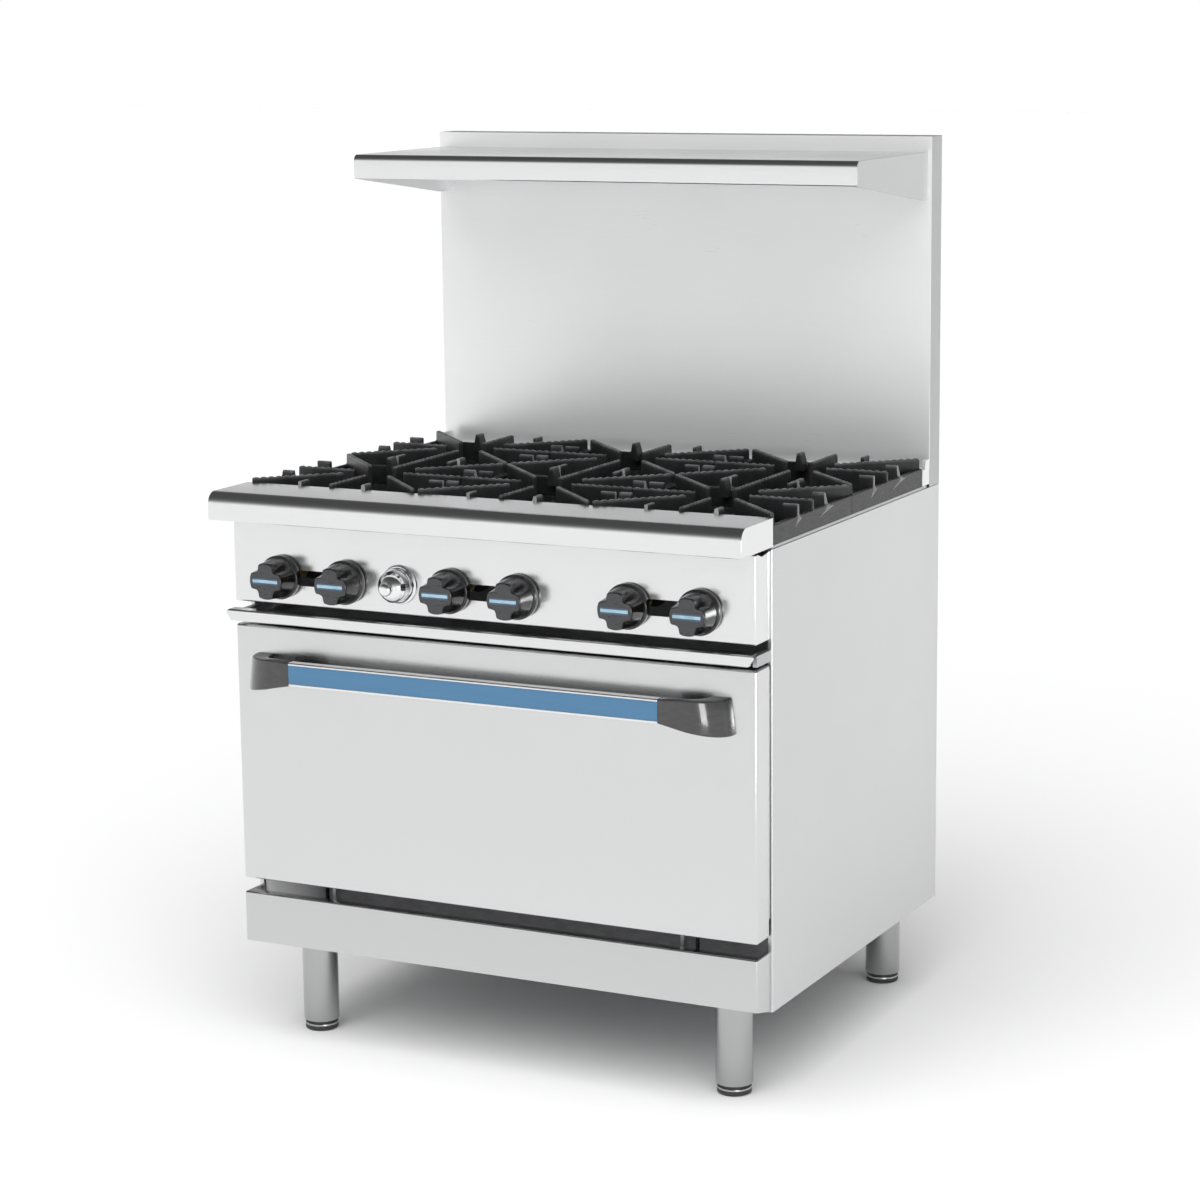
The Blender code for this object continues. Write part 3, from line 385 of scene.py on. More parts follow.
class Paint:
    """A node material with a few shortcuts for procedural detail."""

    def __init__(self, name, color, roughness, metallic=0.0, **constants):
        self.own = color
        self.material = bpy.data.materials.new(name)
        self.material.use_nodes = True
        self.tree = self.material.node_tree
        self.shader = self.tree.nodes["Principled BSDF"]
        self.fill(self.shader, {"Base Color": (*color, 1.0), "Roughness": roughness, "Metallic": metallic})
        self.fill(self.shader, {socket.replace("_", " "): value for socket, value in constants.items()})
        self.place = self.node("ShaderNodeTexCoord", {}, "Object")

    def fill(self, node, inputs):
        """Sets a node's inputs. Each is a value or another node's output."""
        for socket, value in inputs.items():
            if isinstance(value, bpy.types.NodeSocket):
                self.tree.links.new(value, node.inputs[socket])
            else:
                node.inputs[socket].default_value = value

    def node(self, kind, inputs, output, **settings):
        """One output of a new node."""
        made = self.tree.nodes.new(kind)
        for name, value in settings.items():
            setattr(made, name, value)
        self.fill(made, inputs)
        return made.outputs[output]

    def noise(self, scale, detail=2.0, rough=0.5):
        """Noise whose scale is one number or one for each axis, in cells per metre."""
        place = self.place
        if isinstance(scale, tuple):
            place = self.node("ShaderNodeMapping", {"Vector": place, "Scale": scale}, "Vector")
            scale = 1.0
        inputs = {"Vector": place, "Scale": scale, "Detail": detail, "Roughness": rough}
        return self.node("ShaderNodeTexNoise", inputs, "Fac")

    def cells(self, scale):
        return self.node("ShaderNodeTexVoronoi", {"Vector": self.place, "Scale": scale}, "Distance")

    def along(self, axis):
        return self.node("ShaderNodeSeparateXYZ", {"Vector": self.place}, axis)

    def range(self, value, low, high, to_low=0, to_high=1):
        inputs = {"Value": value, "From Min": low, "From Max": high, "To Min": to_low, "To Max": to_high}
        return self.node("ShaderNodeMapRange", inputs, "Result")

    def math(self, operation, a, b):
        return self.node("ShaderNodeMath", {0: a, 1: b}, "Value", operation=operation)

    def blend(self, a, b, share):
        """A share of a, and b for the rest."""
        parts = [self.math("MULTIPLY", value, part) for value, part in ((a, share), (b, round(1 - share, 6)))]
        return self.math("ADD", *parts)

    def mix(self, share, dark, light):
        """A colour between two others, which are colours or outputs."""
        dark, light = ((*color, 1.0) if isinstance(color, tuple) else color for color in (dark, light))
        return self.node("ShaderNodeMix", {"Factor": share, 6: dark, 7: light}, 2, data_type="RGBA")

    def tint(self, share, dark, light):
        """A colour between two shades of the paint's own."""
        return self.mix(share, shade(self.own, dark), shade(self.own, light))

    def finish(self, color, roughness, height, depth, strength=1.0):
        """Links the detail that is given to the shader, and returns the material."""
        inputs = {"Base Color": color}
        if roughness:
            inputs["Roughness"] = roughness
        if height:
            bump = {"Height": height, "Distance": depth, "Strength": strength}
            inputs["Normal"] = self.node("ShaderNodeBump", bump, "Normal")
        self.fill(self.shader, inputs)
        return self.material


def shade(color, factor):
    return tuple(min(1.0, c * factor) for c in color)


def brushed(name, along, gray, rough, depth=0.00003, metallic=1.0):
    """Brushed stainless. The grain follows the axis of index along, or runs round Z if that is None."""
    paint = Paint(name, (gray, gray * 1.005, gray * 1.01), rough, metallic)
    lengthwise = [i == along or (along is None and i < 2) for i in range(3)]
    grain = paint.noise(tuple(30.0 if yes else 3000.0 for yes in lengthwise), 2.0, 0.6)
    streaks = paint.noise(tuple(4.0 if yes else 700.0 for yes in lengthwise))
    smudge = paint.noise(6.0, 3.0, 0.55)
    tone = paint.blend(grain, streaks, 0.6)
    worn = paint.range(smudge, 0.35, 0.7, -0.015, 0.025)
    uneven = paint.math("ADD", paint.range(tone, 0.3, 0.7, rough - 0.015, rough + 0.015), worn)
    return paint.finish(paint.tint(paint.range(tone, 0.3, 0.7), 0.988, 1.012), uneven, grain, depth)


def galvanised(name):
    """Zinc-coated sheet with faint crystals."""
    paint = Paint(name, (0.56, 0.57, 0.58), 0.42, 1.0)
    crystals = paint.range(paint.cells(95.0), 0.0, 0.9)
    mixed = paint.blend(crystals, paint.noise(18.0, 4.0, 0.6), 0.6)
    return paint.finish(
        paint.tint(mixed, 0.86, 1.1), paint.range(mixed, 0.1, 0.8, 0.34, 0.52), mixed, 0.00012, 0.4)


def cast_iron(name, color, rough, grain=0.00035, worn_and_lit_above=None):
    """Sand-cast iron: a fine pitted skin with lighter patches, and above a given height far paler patches
    that are partly wear and partly a painted highlight on the tops.
    """
    paint = Paint(name, color, rough, 0.0, Specular_IOR_Level=0.55)
    sand, pits = paint.noise(900.0, 3.0, 0.65), paint.noise(260.0, 3.0, 0.6)
    patches = paint.noise(38.0, 4.0, 0.6)
    tone = paint.tint(paint.range(patches, 0.35, 0.7), 0.75, 1.45)
    # Partly wear, partly painted highlight: above this height the tops are mixed toward a far paler iron in
    # patches.
    if worn_and_lit_above is not None:
        height = paint.range(paint.along("Z"), worn_and_lit_above, worn_and_lit_above + 0.005)
        wear_and_highlight = paint.math("MULTIPLY", height, paint.range(patches, 0.3, 0.65, 0.25, 1.0))
        tone = paint.mix(wear_and_highlight, tone, shade(color, 9.0))
    uneven = paint.range(pits, 0.3, 0.7, rough - 0.09, rough + 0.10)
    return paint.finish(tone, uneven, paint.math("ADD", sand, pits), grain, 0.6)


def enamel():
    """Dark porcelain enamel with pale specks and a slight orange-peel surface."""
    paint = Paint("oven_enamel_look", (0.035, 0.04, 0.055), 0.22, 0.0, Coat_Weight=0.4, Coat_Roughness=0.08)
    peel = paint.noise(160.0)
    specks = paint.range(paint.cells(420.0), 0.10, 0.20, 1.0, 0.0)
    tone = paint.mix(specks, (0.022, 0.026, 0.038), (0.32, 0.34, 0.37))
    return paint.finish(tone, paint.range(peel, 0.3, 0.7, 0.18, 0.30), peel, 0.0002, 0.35)


def moulded(name, color, rough, coat=0.0, painted_reflection_at_left=False):
    """Moulded plastic or paint with a faint orange peel and handling marks, and if asked a painted reflection
    that pales it toward the left.
    """
    paint = Paint(name, color, rough, 0.0, Coat_Weight=coat, Coat_Roughness=0.06)
    peel = paint.noise(420.0)
    marks = paint.noise((55.0, 40.0, 140.0), 4.0, 0.65)
    tone = paint.tint(paint.range(marks, 0.35, 0.75), 0.85, 1.25)
    # Painted reflection: the colour pales toward the left end, from x = -0.335 to -0.44.
    if painted_reflection_at_left:
        tone = paint.mix(paint.range(paint.along("X"), -0.335, -0.440), tone, (0.80, 0.80, 0.805))
    return paint.finish(tone, paint.range(marks, 0.3, 0.75, rough - 0.05, rough + 0.09), peel, 0.00006, 0.35)


def plated(name, color, rough):
    """Bright plating with fine polishing marks."""
    paint = Paint(name, color, rough, 1.0)
    haze = paint.noise(60.0, 4.0, 0.6)
    lines = paint.noise((500.0, 500.0, 60.0))
    uneven = paint.range(haze, 0.3, 0.75, rough * 0.6, rough * 1.9)
    return paint.finish(paint.tint(haze, 0.95, 1.03), uneven, lines, 0.00001, 0.3)


def insert_blue():
    """Satin blue film with a fine lengthwise grain."""
    color = (0.054, 0.165, 0.300)
    paint = Paint("handle_insert_blue", color, 0.34, Coat_Weight=0.25, Coat_Roughness=0.15)
    grain = paint.noise((10.0, 900.0, 900.0), 3.0)
    tone = paint.blend(grain, paint.noise((3.0, 30.0, 30.0), 3.0), 0.5)
    uneven = paint.range(tone, 0.3, 0.7, 0.29, 0.40)
    return paint.finish(paint.tint(paint.range(tone, 0.3, 0.7), 0.93, 1.07), uneven, grain, 0.00003, 0.4)


def pale_floor():
    paint = Paint("pale_floor", (0.93, 0.93, 0.93), 0.9, 0.0, Specular_IOR_Level=0.0)
    cloud = paint.noise(0.7, 3.0)
    return paint.finish(paint.mix(cloud, (0.925, 0.925, 0.925), (0.935, 0.935, 0.935)), None, None, 0)


# Painted shade: the door and the kick plate get lower greys than the panel, standing in for the darker
# reflections lower down the front.
DOOR_STEEL = brushed("door_steel", 0, 0.69, 0.20)
PANEL_STEEL = brushed("panel_steel", 0, 0.78, 0.18)
KICK_STEEL = brushed("kick_plate_steel", 0, 0.60, 0.20)
TRAY_STEEL = brushed("tray_steel", 0, 0.78, 0.20)
# Painted light: the splash's grey is raised to make up for the shelf's shadow on it.
SPLASH_STEEL = brushed("splash_steel", 0, 0.86, 0.30, 0.00006, 0.62)
SIDE_STEEL = brushed("side_steel", 2, 0.64, 0.30)
RISER_STEEL = brushed("riser_side_steel", 2, 0.50, 0.38)
BRACKET_STEEL = brushed("bracket_steel", 1, 0.58, 0.30)
# Painted shade: the legs' grey is lowered to stand in for the dark surroundings that the round tubes reflect.
LEG_STEEL = brushed("leg_tube_steel", None, 0.43, 0.17, 0.00010)
LEDGE_STEEL = brushed("ledge_steel", 0, 0.80, 0.15)
SHELF_STEEL = brushed("shelf_steel", 0, 0.78, 0.16)
BRIGHT_STEEL = brushed("polished_bar_steel", 0, 0.83, 0.14, 0.00001)
SATIN_STEEL = brushed("satin_bar_steel", 0, 0.80, 0.36, 0.00003, 0.45)
ZINC = galvanised("galvanised_look")
# Grate iron whose tops are paled, partly for wear and partly as a painted highlight.
GRATE_IRON = cast_iron("grate_iron", (0.013, 0.0135, 0.014), 0.40, worn_and_lit_above=0.911)
# A paler iron for the outward faces of the grates' lugs.
PALE_LUG_IRON = cast_iron("pale_lug_iron", (0.22, 0.22, 0.225), 0.42, 0.0001)
BURNER_IRON = cast_iron("burner_iron", (0.040, 0.039, 0.038), 0.60)
ENAMEL = enamel()
KNOB_BLACK = moulded("knob_black", (0.009, 0.009, 0.010), 0.15, 0.6)
KNOB_FACE = moulded("knob_face_grey", (0.032, 0.033, 0.036), 0.30, 0.3)
CAP_GREY = moulded("cap_dark_grey", (0.034, 0.034, 0.036), 0.17, 0.6)
FOOT_RING = plated("foot_ring_zinc", (0.48, 0.48, 0.49), 0.22)
# The baffle's grey, with a painted reflection that pales it toward the left end.
BAFFLE_GREY = moulded("baffle_grey", (0.13, 0.13, 0.135), 0.5, painted_reflection_at_left=True)
FOOT_BLACK = moulded("foot_black", (0.030, 0.030, 0.031), 0.55)
LABEL_SLATE = moulded("label_slate", (0.050, 0.085, 0.125), 0.35)
LABEL_PALE = moulded("label_pale", (0.30, 0.45, 0.55), 0.40)
CHROME = plated("chrome_look", (0.86, 0.865, 0.87), 0.07)
WIRE_CHROME = plated("rack_wire_look", (0.70, 0.70, 0.71), 0.20)
BRASS = plated("brass_look", (0.86, 0.66, 0.24), 0.30)
SCREW_STEEL = plated("screw_steel", (0.62, 0.62, 0.63), 0.24)
PIPE_BLACK = cast_iron("pipe_black", (0.030, 0.030, 0.031), 0.45, 0.0001)
BLUE = insert_blue()


# Body ---------------------------------------------------------------------------------------------


def placed(obj, matrix):
    obj.data.transform(matrix)
    return obj


def mirrored(obj):
    """A copy of the object on the other side of x = 0."""
    mesh = obj.data.copy()
    mesh.transform(Matrix.Scale(-1, 4, (1, 0, 0)))
    mesh.flip_normals()
    return linked("mirrored", mesh)


def pair(right):
    """The right-hand object and its mirror image, each with its side's name."""
    return ((right, "right"), (mirrored(right), "left"))


def copied(obj, offset_by):
    return placed(linked("copied", obj.data.copy()), Matrix.Translation(offset_by))


def copies(obj, places):
    """A copy at each place, in the place of the object."""
    made = [copied(obj, place) for place in places]
    discard(obj)
    return made


def keep(paint, edge, *nodes):
    """Gives CAD nodes a finished material and softens their edges."""
    for name in nodes:
        obj = frame["nodes"][name]
        obj.data.materials.clear()
        obj.data.materials.append(paint)
        weld = obj.modifiers.new("weld", "WELD")
        weld.merge_threshold = 0.00001
        soften(obj, edge, 40)


def side_panels():
    low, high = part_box("side_panel_right")
    path = [(HALF - 0.008, low.y), (HALF, low.y), (HALF, high.y), (HALF - 0.015, high.y)]
    for panel, name in pair(bent_sheet(path, "Z", low.z, high.z)):
        nodes = ["side_panel_" + name]
        piece(panel, "side_skin_" + name, SIDE_STEEL, "range_body", nodes, 0.0003)


def screw_head(axis, radius):
    """A pan-head screw with a cross recess on a thin washer."""
    wide, narrow, thick, dome = radius * 1.55, radius * 1.4, 0.0009, 0.0013
    washer = lathe(((wide, 0), (wide, 0.0006), (narrow, thick), (0, thick)), ORIGIN, axis, 20)
    crown = [(radius, 0.0008), (radius, 0.0014)]
    crown += [(radius * cos(a), 0.0014 + dome * sin(a)) for a in (0.5, 0.9, 1.25)]
    head = lathe((*crown, (0, 0.0027)), ORIGIN, axis, 16)
    place = aim(ORIGIN, axis)
    wide, narrow = radius * 0.55, radius * 0.13
    cutters = []
    for half_x, half_y in ((wide, narrow), (narrow, wide)):
        slot = box((-half_x, half_x), (-half_y, half_y), (0.0017, 0.004))
        slot.data.transform(place)
        cutters.append(slot)
    cut(head, cutters)
    return joined([washer, head])


def screws(name, places, axis, body, radius=0.0042):
    piece(joined(copies(screw_head(axis, radius), places)), name, SCREW_STEEL, body)


def evenly(low, high, count):
    return [low + (high - low) * i / (count - 1) for i in range(count)]


def back_sheet():
    """The flat rear cover, screwed on in pressed dimples, with the hole for the gas pipe."""
    low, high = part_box("back_panel")
    inlet_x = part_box("gas_manifold")[1].x - PIPE_RADIUS
    dimple, depth = 0.0100, 0.0029  # radius of a screw's dimple, and depth of its floor
    inset, from_middle, clear_of_pipe = 0.022, 0.16, 0.05
    columns = evenly(low.x + inset, high.x - inset, 7)
    places = [(x, BACK, z) for z in (low.z + inset, high.z - inset) for x in columns]
    middle = (low.z + high.z) / 2
    for x in (columns[0], columns[-1]):
        places += [(x, BACK, z) for z in (middle - from_middle, middle + from_middle)]
    places = [place for place in places if hypot(place[0] - inlet_x, place[2] - PIPE_Z) > clear_of_pipe]
    front, behind = BACK - 2 * PAST, BACK + 2 * PAST
    holes = [
        rod((inlet_x, front, PIPE_Z), (inlet_x, behind, PIPE_Z), PIPE_RADIUS + 0.006, 40),
        joined([rod((x, front, z), (x, behind, z), dimple, 24) for x, y, z in places]),
    ]
    sheet = cut(box(*zip(low, high)), holes)
    profile = (
        (0.0, -depth), (0.0066, -depth), (0.0090, -0.0006), (dimple + 0.0003, -0.0001),
        (dimple + 0.0003, -0.0012), (0.0072, -depth - SHEET + 0.0001), (0.0, -depth - SHEET + 0.0001),
    )
    dishes = copies(lathe(profile, ORIGIN, TO_BACK, 32), places)
    piece(joined([sheet, *dishes]), "rear_sheet", ZINC, "range_body", ["back_panel"], 0.0002)
    places = [(x, y - depth, z) for x, y, z in places]
    screws("rear_screws", places, TO_BACK, "range_body")


def legs():
    foot_profile = mm(
        (23.5, 0), (24.5, 0.3), (26.4, 1.4), (26.9, 2.6), (26.9, 8.2), (27.2, 8.6), (27.2, 10.8),
        (26.8, 11.4), (25.8, 12), (25.2, 13), (25.2, 40),
    )
    ring_low, ring_high = 0.0083, 0.0115  # the bright band round a foot
    for corner in ("front_left", "front_right", "rear_left", "rear_right"):
        low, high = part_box("foot_" + corner)
        x, y = (low.x + high.x) / 2, (low.y + high.y) / 2
        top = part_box("leg_" + corner)[1].z
        tube_profile = (
            (0.0272, 0.0168), (0.0284, 0.0165), (0.0290, 0.0176), (0.0290, top - 0.0050),
            (0.0300, top - 0.0036), (0.0315, top - 0.0028), (0.0315, top), (0.0272, top),
        )
        leg = lathe(tube_profile, (x, y, 0), UP, 64)
        piece(leg, "leg_tube_" + corner, LEG_STEEL, "range_body", ["leg_" + corner])
        foot = lathe(foot_profile, (x, y, 0), UP, 64)
        for face in foot.data.polygons:
            face.material_index = int(ring_low < face.center.z < ring_high)
        piece(foot, "foot_cap_" + corner, [FOOT_BLACK, FOOT_RING], "range_body", ["foot_" + corner])


def air_baffle():
    """The dark sheets behind the gap under the door, inside the oven's shell and beside it, with a painted
    reflection that pales them toward the left end.
    """
    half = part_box("oven_deck")[1].x
    y, top = (FRONT + 0.0045, FRONT + 0.006), DOOR_LOW.z + 0.004
    sheets = [box((-half, half), y, (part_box("oven_liner")[0].z + 0.002, top))]
    sheets += end_boxes(half + 0.006, 0.448, y, (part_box("base_frame")[1].z + 0.001, top))
    piece(joined(sheets), "oven_air_baffle", BAFFLE_GREY, "range_body", bevel=0.0003)


def kick_plate():
    low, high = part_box("kick_plate")
    rear, end_flange, top_flange = high.y, 0.006, 0.018
    outline = [(FACE, low.z + 0.013), (FACE, high.z), (rear, high.z), (rear, low.z + 0.001)]
    wrap = shell(outline, (low.x, high.x), [TO_BACK, (0, -0.2, -1)])
    opening = box((low.x + end_flange, high.x - end_flange), (FACE + top_flange, rear + PAST),
                  (high.z - 0.004, high.z + PAST))
    cut(wrap, [opening])
    piece(wrap, "kick_plate_wrap", KICK_STEEL, "range_body", ["kick_plate"], 0.0003)


# Oven and door ------------------------------------------------------------------------------------


def oven_rack():
    low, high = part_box("oven_rack")
    z = low.z + 0.0026
    thick, thin = 0.0025, 0.0016  # radii of the frame's wire and the others
    corner, end_gap = 0.012, 0.020
    x0, x1, y0, y1 = low.x + thick, high.x - thick, low.y + thick, high.y - thick
    middle = (x0 + x1) / 2
    loop = [(middle, y0, z), (x1, y0, z), (x1, y1, z), (x0, y1, z), (x0, y0, z), (middle, y0, z)]
    wires = [tube(smooth_route(loop, corner), thick, 12)]
    for x in evenly(x0 + end_gap, x1 - end_gap, 13):
        wires.append(tube([(x, y0, z), (x, (y0 + y1) / 2, z), (x, y1, z)], thin, 8))
    z += 0.0006
    for share in (0.33, 0.67):
        y = y0 + (y1 - y0) * share
        wires.append(tube([(x0, y, z), (0, y, z), (x1, y, z)], thin, 8))
    piece(joined(wires), "rack_wires", WIRE_CHROME, "rack", ["oven_rack"])


def door():
    """The outer skin, slotted for the hinges, and the screws of the inner plate.

    Its rim reaches closer to the front frame above the hinge. Lower down it would meet the frame.
    """
    rim, hinge_slot = FRONT - 0.0028, 0.0055
    outline = [(FACE, DOOR_LOW.z), (FACE, DOOR_HIGH.z), (rim, DOOR_HIGH.z), (rim, DOOR_LOW.z)]
    pan = shell(outline, (DOOR_LOW.x, DOOR_HIGH.x), [TO_BACK], 0.0042)
    across, below = (DOOR_LOW.x - PAST, DOOR_HIGH.x + PAST), DOOR_LOW.z - PAST
    cutters = [box(across, (DOOR_HIGH.y, FRONT), (below, HINGE.z + 0.02))]
    y, z = (HINGE.y - 0.012, FRONT), (below, DOOR_LOW.z + 0.004)
    for x in (-HINGE_X, HINGE_X):
        cutters.append(box((x - hinge_slot, x + hinge_slot), y, z))
    piece(cut(pan, cutters), "door_skin", DOOR_STEEL, "door", ["door_outer_panel"], 0.0003)
    rear, reach, clear_of_hinge = FRONT - 0.008, 0.42, 0.03
    rows = (DOOR_LOW.z + 0.035, DOOR_HIGH.z - 0.026)
    places = [(x, rear, z) for z in rows for x in evenly(-reach, reach, 5)]
    places = [place for place in places if abs(abs(place[0]) - HINGE_X) > clear_of_hinge]
    screws("door_inner_screws", places, TO_BACK, "door", 0.0030)


def rounded_outline(points, radius, steps=4):
    """A closed outline with rounded corners."""
    loop = [tuple((Vector(points[0]) + Vector(points[-1])) / 2), *points]
    loop.append(loop[0])
    return rounded(loop, radius, steps)[:-1]


def handle():
    """The bar, satin on top, with the coloured strip in a shallow pocket in its front."""
    low, high = BAR_LOW, BAR_HIGH
    lip, recess = 0.004, 0.0021
    outline = rounded_outline([(high.y, low.z), (high.y, high.z), (low.y, high.z), (low.y, low.z)], 0.0022, 5)
    bar = prism(outline, "X", low.x, high.x)
    pocket = box((low.x - PAST, high.x + PAST), (low.y - PAST, low.y + recess), (low.z + lip, high.z - lip))
    cut(bar, [pocket])
    for face in bar.data.polygons:
        face.material_index = int(face.normal.z > 0.9)
    paints = [BRIGHT_STEEL, SATIN_STEEL]
    piece(bar, "handle_rail", paints, "door", ["door_handle_bar"], 0.0003)
    low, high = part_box("door_handle_insert")
    crown = 0.0004
    front = low.y - 0.0001
    section = [(high.y, low.z)]
    for share in evenly(0, 1, 9):
        section.append((front + crown * (2 * share - 1) ** 2, low.z + (high.z - low.z) * share))
    section.append((high.y, high.z))
    strip = prism(section, "X", low.x, high.x)
    piece(strip, "handle_blue_strip", BLUE, "door", ["door_handle_insert"], 0.0002)


def handle_caps():
    """End caps lofted from the bar's end to the door, on the lines of the CAD caps."""
    cap_low, cap_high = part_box("handle_cap_right")
    start_x = cap_low.x
    front, door_y = BAR_LOW.y, FACE - 0.0003
    bar_depth = BAR_HIGH.y - BAR_LOW.y
    straight, foot_thick, rise = 0.032, 0.030, 0.002
    bow = (0.0336, -0.0266)  # how the outer end bows out below its upper corner
    end_x = cap_high.x + bow[0] ** 2 / (4 * bow[1])
    turn_x = start_x + straight
    top, bottom = BAR_HIGH.z, BAR_LOW.z
    door_high, door_low = top - 0.0015, cap_low.z
    around = 56
    sections = [(start_x, None), (start_x + 0.0009, None), (start_x + straight * 0.5, None)]
    sections += [(None, radians(a)) for a in evenly(0, 90, 25)]
    bm = bmesh.new()
    rings = []
    for number, (x_straight, angle) in enumerate(sections):
        turn = angle or 0.0
        middle_x = x_straight if angle is None else turn_x + (end_x - turn_x) * sin(turn)
        share = (middle_x - start_x) / (end_x - start_x)
        if middle_x <= turn_x:
            high_z = top + rise * (middle_x - start_x) / straight
        else:
            high_z = top + rise + (door_high - top - rise) * (middle_x - turn_x) / (end_x - turn_x)
        low_z = bottom + (door_low - bottom) * share ** 1.05
        height = high_z - low_z
        thick = bar_depth * cos(turn) + foot_thick * sin(turn)
        pinch = 0.0005 if number == 0 else 0.0
        corner = 0.0034 - 0.0012 * sin(turn)
        corners = [(thick - corner, height - corner), (corner, height - corner), (corner, corner),
                   (thick - corner, corner)]
        ring = []
        for quarter, center in enumerate(corners):
            for a, b in arc(center, corner - pinch, 90 * quarter, 90 * quarter + 90, around // 4 - 1):
                across, up = a / thick, b / height
                z = low_z + up * height
                down = min(max((door_high - z) / (door_high - door_low), 0), 1)
                swell = bow[0] * down + bow[1] * down ** 2
                if angle is None:
                    ring.append((middle_x, front + bar_depth * (1 - across), z))
                    continue
                out, ahead = end_x + swell - turn_x, door_y - front
                outer = Vector((turn_x + out * sin(turn), door_y - ahead * cos(turn)))
                inner = Vector((
                    turn_x + (out - foot_thick) * sin(turn),
                    door_y - (ahead - bar_depth) * cos(turn),
                ))
                ring.append((*inner.lerp(outer, across), z))
        rings.append([bm.verts.new(co) for co in ring])
    for cap, name in pair(bridged(bm, rings)):
        piece(cap, "handle_end_" + name, CAP_GREY, "door", ["handle_cap_" + name], sharp=50)


# Front --------------------------------------------------------------------------------------------


def slotted(x0, x1, z0, z1, y0, y1, radius=0.003):
    outline = rounded_outline([(x0, z0), (x1, z0), (x1, z1), (x0, z1)], radius)
    return prism(outline, "Y", y0, y1)


def control_panel():
    """The folded panel, with a slot between each two knobs and a hole for every shaft."""
    low, high = PANEL_LOW, PANEL_HIGH
    top, rear, end_flange, half_slot = high.z - 0.003, high.y, 0.006, 0.0125
    outline = [(FACE, low.z), (FACE, top), (rear, top), (rear, low.z)]
    wrap = shell(outline, (low.x, high.x), [TO_BACK])
    inside = (low.x + end_flange, high.x - end_flange)
    ramp = [
        (FACE + 0.004, top + PAST), (FACE + 0.004, top), (rear - 0.028, top - 0.006),
        (rear + PAST, top - 0.001), (rear + PAST, top + PAST),
    ]
    cutters = [
        box(inside, (FACE + 0.020, rear + PAST), (top - 0.004, top + PAST)),
        box(inside, (rear - 0.012, rear + PAST), (low.z - PAST, low.z + 0.004)),
        prism(ramp, "X", low.x - PAST, high.x + PAST),
    ]
    through = (FACE - PAST, FACE + PAST)
    z = KNOBS[0].z
    for left, right in zip(KNOBS[0::2], KNOBS[1::2]):
        cutters.append(slotted(left.x + 0.015, right.x - 0.015, z - half_slot, z + half_slot, *through))
    holes = [(knob.x, z, 0.0065, 24) for knob in KNOBS]
    control = AXES["thermostat_knob"]
    for x, z, radius, segments in (*holes, (control.x, control.z, 0.011, 32)):
        cutters.append(rod((x, through[0], z), (x, through[1], z), radius, segments))
    cut(wrap, cutters)
    piece(wrap, "control_panel_skin", PANEL_STEEL, "range_body", ["control_panel"], 0.0003)


def front_ledge():
    nose, top, bottom = LEDGE_LOW.y, LEDGE_HIGH.z, LEDGE_LOW.z
    radius, rear = 0.0185, LEDGE_HIGH.y
    corner = arc((nose + radius, top - radius), radius, 90, 180, 18)
    path = [(rear, top), *corner, (nose, bottom), (nose + 0.045, bottom)]
    skin = bent_sheet(path, "X", -HALF, HALF)
    end = [(rear, top - 0.0004)]
    end += [(u + 0.0004, v - 0.0004) for u, v in corner]
    end += [(nose + 0.0004, bottom + 0.0024), (nose + 0.0024, bottom + 0.0004), (rear, bottom + 0.0004)]
    ends = end_plates(end, HALF - SHEET, HALF - 0.0002)
    ledge = joined([skin, *ends])
    piece(ledge, "ledge_skin", LEDGE_STEEL, "range_body", ["front_ledge"], 0.0004)


def crumb_tray():
    """A shallow pan behind a folded nose whose lower corners are snipped off."""
    low, high = TRAY_LOW, TRAY_HIGH
    face, front = FACE - 0.0005, low.y
    nose_bottom = high.z - 0.018
    path = [
        (face, high.z), (front + 0.002, high.z), (front, high.z - 0.002), (front, nose_bottom),
        (front + 0.012, nose_bottom),
    ]
    nose = bent_sheet(path, "X", -HALF, HALF, 0.0018)
    past = 0.001
    out, under, over = HALF + past, nose_bottom - past, high.z + past
    lower = [(out, under), (out, nose_bottom + 0.0135), (HALF - 0.0095, under)]
    upper = [(out, over), (HALF - 0.005, over), (out, high.z - 0.004)]
    cut(nose, [
        prism([(x * side, z) for x, z in corner], "Y", front - past, face + past)
        for side in SIDES for corner in (lower, upper)
    ])
    web_half = HALF - 0.02
    web = box((-web_half, web_half), (face - SHEET, face - 0.0001), (low.z + 0.0002, high.z - SHEET / 2))
    half, rear, floor, rim = 0.4445, high.y, low.z + 0.0038, high.z - 0.0045
    pan = shell([(face - 0.001, floor), (rear, floor), (rear, rim), (face - 0.001, rim)],
                (-half, half), [(0, 0, 1)], 0.0025, 0.0012)
    piece(joined([nose, web, pan]), "tray_sheet", TRAY_STEEL, "tray", ["crumb_tray"], 0.0002)


# Knobs --------------------------------------------------------------------------------------------


def groove(turn):
    """How deep the grip's four scallops are at this angle, from 0 to 1."""
    width = radians(20)
    away = abs(turn % (pi / 2) - pi / 4)
    return max(0.0, 1 - (away / width) ** 2)


